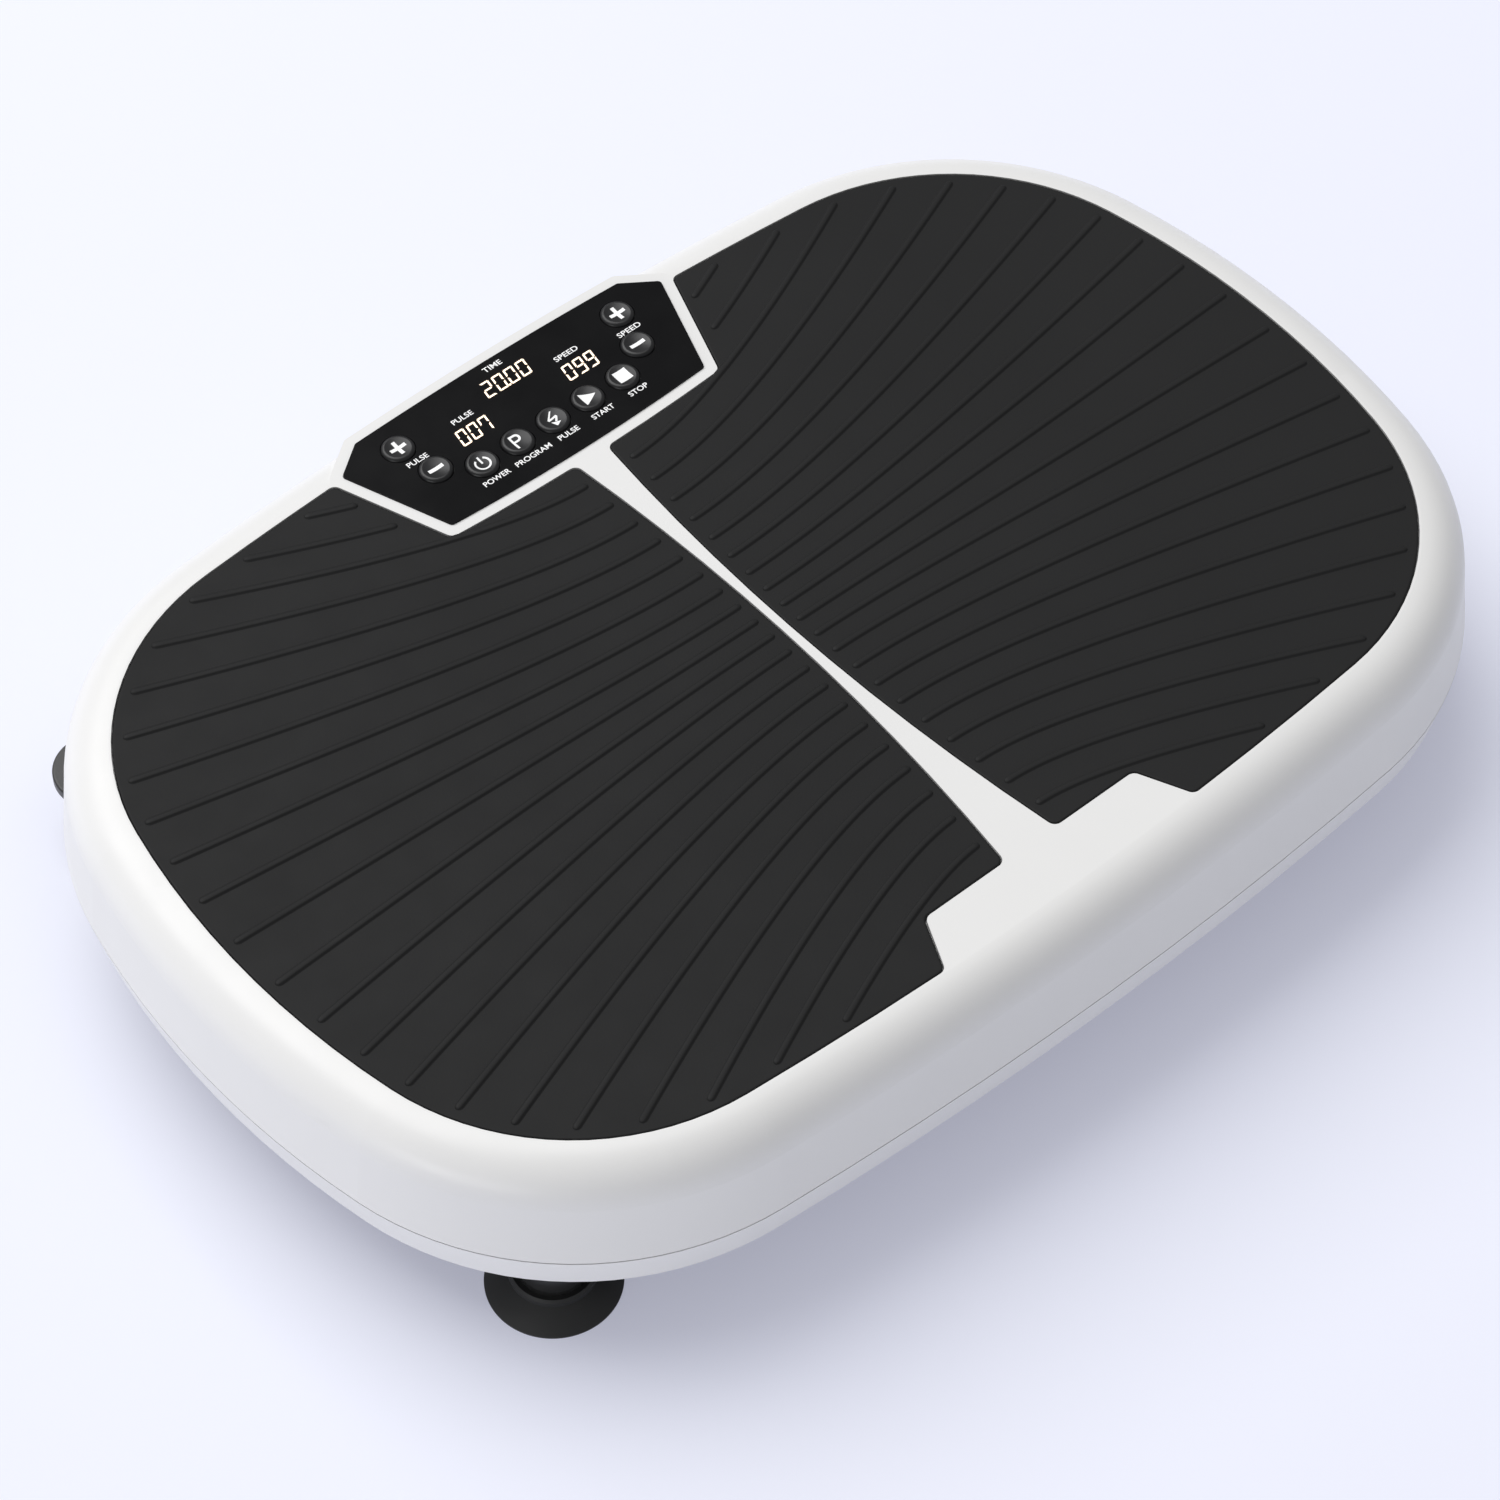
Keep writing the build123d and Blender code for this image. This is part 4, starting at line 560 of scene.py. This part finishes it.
def program_mark():
    return ([bar(-1.9, 0, 0.95, 7.0), bar(-0.6, 3.03, 1.65, 0.95), bar(-0.6, 0.12, 1.65, 0.95)]
            + arc_band(0.2, 1.575, 1.455, 0.95, -90, 90, 16))


def pulse_mark():
    """A zigzag that ends in an arrowhead."""
    return [
        [(0.9, 3.7), (1.7, 3.7), (-1.1, 0.7), (-2.3, 0.5)],
        [(-2.3, 0.5), (-1.1, 0.7), (2.0, 1.15), (2.3, 0.3), (-2.0, -0.25)],
        [(2.0, 1.15), (2.3, 0.3), (0.75, -1.8), (0.0, -1.4)],
        [(-1.7, -1.0), (1.9, -2.5), (-0.7, -3.9)],
    ]


def start_mark():
    return [[(-2.7, -3.3), (3.6, 0.0), (-2.7, 3.3)]]


def stop_mark():
    return [bar(0, 0, 6.0, 6.0)]


KEY_MARKS = {
    "power": power_mark, "program": program_mark, "pulse": pulse_mark, "start": start_mark,
    "stop": stop_mark, "pulse_plus": plus_mark, "pulse_minus": minus_mark, "speed_plus": plus_mark,
    "speed_minus": minus_mark,
}


def mark_keys():
    """White symbols that follow the dished top of each key and move with it."""
    radius = (KEY_DISH_RADIUS**2 + KEY_DISH**2) / (2 * KEY_DISH)
    for key, mark in KEY_MARKS.items():
        low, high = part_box(key + "_button")
        centre = (low + high) / 2 / MM
        top = high.z / MM

        def dish_at(x, y):
            off = hypot(x - centre.x, y - centre.y)
            return top - KEY_DISH + radius - sqrt(radius**2 - off**2)

        moved = [[(x + centre.x, y + centre.y) for x, y in polygon] for polygon in mark()]
        builder = bmesh.new()
        print_faces(builder, moved, dish_at)
        finish_piece(builder, key + "_mark", PRINT_WHITE_GLOW, key + "_key")


def segment_polygons(letter, x, y, width, height):
    """Seven-segment figure: bevelled bars, left lower corner at (x, y)."""
    thick = SEGMENT_WIDTH
    gap = SEGMENT_GAP
    half = height / 2

    def flat(bar_y, inner):
        left, right = x + gap, x + width - gap
        down = thick if inner > 0 else -thick
        return [(left, bar_y), (right, bar_y),
                (right - thick, bar_y + down), (left + thick, bar_y + down)]

    def upright(bar_x, low, high, inner):
        across = thick if inner > 0 else -thick
        bevel = thick * SEGMENT_BEVEL
        return [(bar_x, low + gap), (bar_x, high - gap),
                (bar_x + across, high - gap - bevel), (bar_x + across, low + gap + bevel)]

    tip = gap + MIDDLE_EXTRA_GAP
    over, under = y + half + thick / 2, y + half - thick / 2
    shapes = {
        "a": flat(y + height, -1),
        "d": flat(y, 1),
        "g": [(x + tip, y + half), (x + thick, over), (x + width - thick, over),
              (x + width - tip, y + half), (x + width - thick, under), (x + thick, under)],
        "f": upright(x, y + half, y + height, 1),
        "e": upright(x, y, y + half, 1),
        "b": upright(x + width, y + half, y + height, -1),
        "c": upright(x + width, y, y + half, -1),
    }
    return [shapes[segment] for segment in SEGMENTS[letter]]


def draw_digits():
    """Lit figures behind the panel, slanted to the right."""
    panel_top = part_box("control_panel")[1].z / MM
    for name, (text, x, y, width, height) in DIGIT_GROUPS.items():
        figures = [letter for letter in text if letter != "."]
        pitch = width / len(figures)
        figure_width = pitch * DIGIT_FILL
        polygons = []
        column = x - width / 2 + (pitch - figure_width) / 2
        for letter in text:
            if letter == ".":
                polygons.append(bar(column - (pitch - figure_width) / 2 - POINT_SHIFT,
                                    y - height / 2 + POINT_SIZE / 2, POINT_SIZE, POINT_SIZE))
                continue
            polygons += segment_polygons(letter, column, y - height / 2, figure_width, height)
            column += pitch
        lean = tan(radians(DIGIT_SLANT))
        slanted = [[(px + (py - y) * lean, py) for px, py in polygon] for polygon in polygons]
        builder = bmesh.new()
        print_faces(builder, slanted, lambda px, py: panel_top, longest=DIGIT_EDGE)
        finish_piece(builder, name, DIGIT_GLOW, "deck")


def print_text(name, text, x, y, width, z):
    """A word in plain capitals, printed on the panel."""
    curve = bpy.data.curves.new(name + "_curve", "FONT")
    curve.body = text
    curve.extrude = 0.5              # any thickness, because it is scaled to the print's below
    curve.offset = LABEL_WEIGHT
    holder = bpy.data.objects.new(name + "_curve", curve)
    bpy.context.scene.collection.objects.link(holder)
    bpy.context.view_layer.update()
    shaped = holder.evaluated_get(bpy.context.evaluated_depsgraph_get())
    mesh = bpy.data.meshes.new_from_object(shaped)
    bpy.data.objects.remove(holder)
    spots = [vertex.co for vertex in mesh.vertices]
    low = Vector([min(spot[axis] for spot in spots) for axis in range(3)])
    high = Vector([max(spot[axis] for spot in spots) for axis in range(3)])
    middle = (low + high) / 2
    size = high - low
    for vertex in mesh.vertices:
        vertex.co.x = (x + (vertex.co.x - middle.x) * width / size.x) * MM
        vertex.co.y = (y + (vertex.co.y - middle.y) * LABEL_HEIGHT / size.y) * MM
        vertex.co.z = (z + PRINT_LIFT + (vertex.co.z - low.z) / size.z * PRINT_THICKNESS) * MM
    mesh.materials.clear()
    mesh.materials.append(PRINT_WHITE_GLOW)
    piece = bpy.data.objects.new(name, mesh)
    bpy.context.scene.collection.objects.link(piece)
    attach(piece, "deck")


def print_labels():
    """All the words on the panel."""
    panel_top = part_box("control_panel")[1].z / MM
    for name, (text, x, y, width) in LABELS.items():
        print_text(name, text, x, y, width, panel_top)


# ================================================================ inlet and rocker switch
def contact_sleeves():
    """Bright metal over the two contact pins of the power inlet."""
    low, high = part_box("power_inlet")
    centre = (low + high) / 2 / MM
    builder = bmesh.new()
    for side in (-1, 1):
        pin_x = centre.x + side * PIN_PITCH / 2
        turns = [2 * pi * step / PIN_SIDES for step in range(PIN_SIDES)]
        rings = [[builder.verts.new((pin_x + radius * cos(turn), high.y / MM - depth,
                                     centre.z + radius * sin(turn))) for turn in turns]
                 for radius, depth in PIN_PROFILE]
        bridge(builder, rings)
        builder.faces.new(rings[0])
        builder.faces.new(rings[-1][::-1])
    finish_piece(builder, "contact_sleeves", CONTACT_METAL, "deck")


def mark_rocker():
    """White bar and ring on the two flats of the rocker switch."""
    low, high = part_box("switch_rocker")
    middle_x = (low.x + high.x) / 2 / MM
    middle_z = (low.z + high.z) / 2 / MM
    pivot_y = low.y / MM + ROCKER_RADIUS

    def flat_at(x, z):
        rise = ROCKER_FLATS[0] if z > middle_z else ROCKER_FLATS[1]
        return pivot_y + ROCKER_VALLEY + rise * (z - middle_z)

    builder = bmesh.new()
    shapes = [bar(middle_x, middle_z + ROCKER_MARK_OFFSET, *ROCKER_BAR)]
    shapes += arc_band(middle_x, middle_z - ROCKER_MARK_OFFSET, *ROCKER_RING, 0, 360, 24)
    print_faces(builder, shapes, flat_at)
    for vertex in builder.verts:     # the marks were built lying down, and this stands them up
        vertex.co.y, vertex.co.z = vertex.co.z, vertex.co.y
    finish_piece(builder, "rocker_marks", PRINT_WHITE_GLOW, "switch")


# ================================================================ stage
def look_at(thing, place, target):
    """Stand a lamp or the camera at a place and turn it towards a target."""
    thing.location = place
    thing.rotation_euler = (Vector(target) - Vector(place)).to_track_quat("-Z", "Y").to_euler()


def make_stage():
    """Pale floor, soft studio light and the camera."""
    floor_material = new_material("lit_floor", FLOOR_COLOUR, FLOOR_ROUGHNESS,
                                  Specular_IOR_Level=0.0, Emission_Color=(*FLOOR_GLOW, 1.0),
                                  Emission_Strength=1.0)
    mesh = bpy.data.meshes.new("floor")
    half = FLOOR_SIZE / 2
    corners = [(-half, -half, 0), (half, -half, 0), (half, half, 0), (-half, half, 0)]
    mesh.from_pydata(corners, [], [(0, 1, 2, 3)])
    mesh.materials.append(floor_material)
    floor = bpy.data.objects.new("floor", mesh)
    bpy.context.scene.collection.objects.link(floor)

    world = bpy.data.worlds.new("studio")
    world.use_nodes = True
    backdrop = world.node_tree.nodes["Background"]
    backdrop.inputs["Color"].default_value = (*WORLD_COLOUR, 1.0)
    backdrop.inputs["Strength"].default_value = WORLD_STRENGTH
    bpy.context.scene.world = world

    for name, (place, target, width, height, watts) in LIGHTS.items():
        lamp = bpy.data.lights.new(name, "AREA")
        lamp.shape = "RECTANGLE"
        lamp.size = width
        lamp.size_y = height
        lamp.energy = watts
        holder = bpy.data.objects.new(name, lamp)
        bpy.context.scene.collection.objects.link(holder)
        look_at(holder, place, target)

    azimuth, elevation = radians(CAMERA_AZIMUTH), radians(CAMERA_ELEVATION)
    way = Vector((sin(azimuth) * cos(elevation), -cos(azimuth) * cos(elevation), sin(elevation)))
    lens = bpy.data.cameras.new("camera")
    lens.lens = CAMERA_LENS
    lens.sensor_width = CAMERA_SENSOR
    lens.clip_start = CAMERA_CLIP
    camera = bpy.data.objects.new("camera", lens)
    bpy.context.scene.collection.objects.link(camera)
    look_at(camera, Vector(CAMERA_TARGET) + way * CAMERA_DISTANCE, CAMERA_TARGET)
    bpy.context.scene.camera = camera
    bpy.context.scene.view_settings.view_transform = "Standard"


dress_nodes()
moulded_mat("left_mat", -1)
moulded_mat("right_mat", 1)
mark_keys()
draw_digits()
print_labels()
contact_sleeves()
mark_rocker()
make_stage()
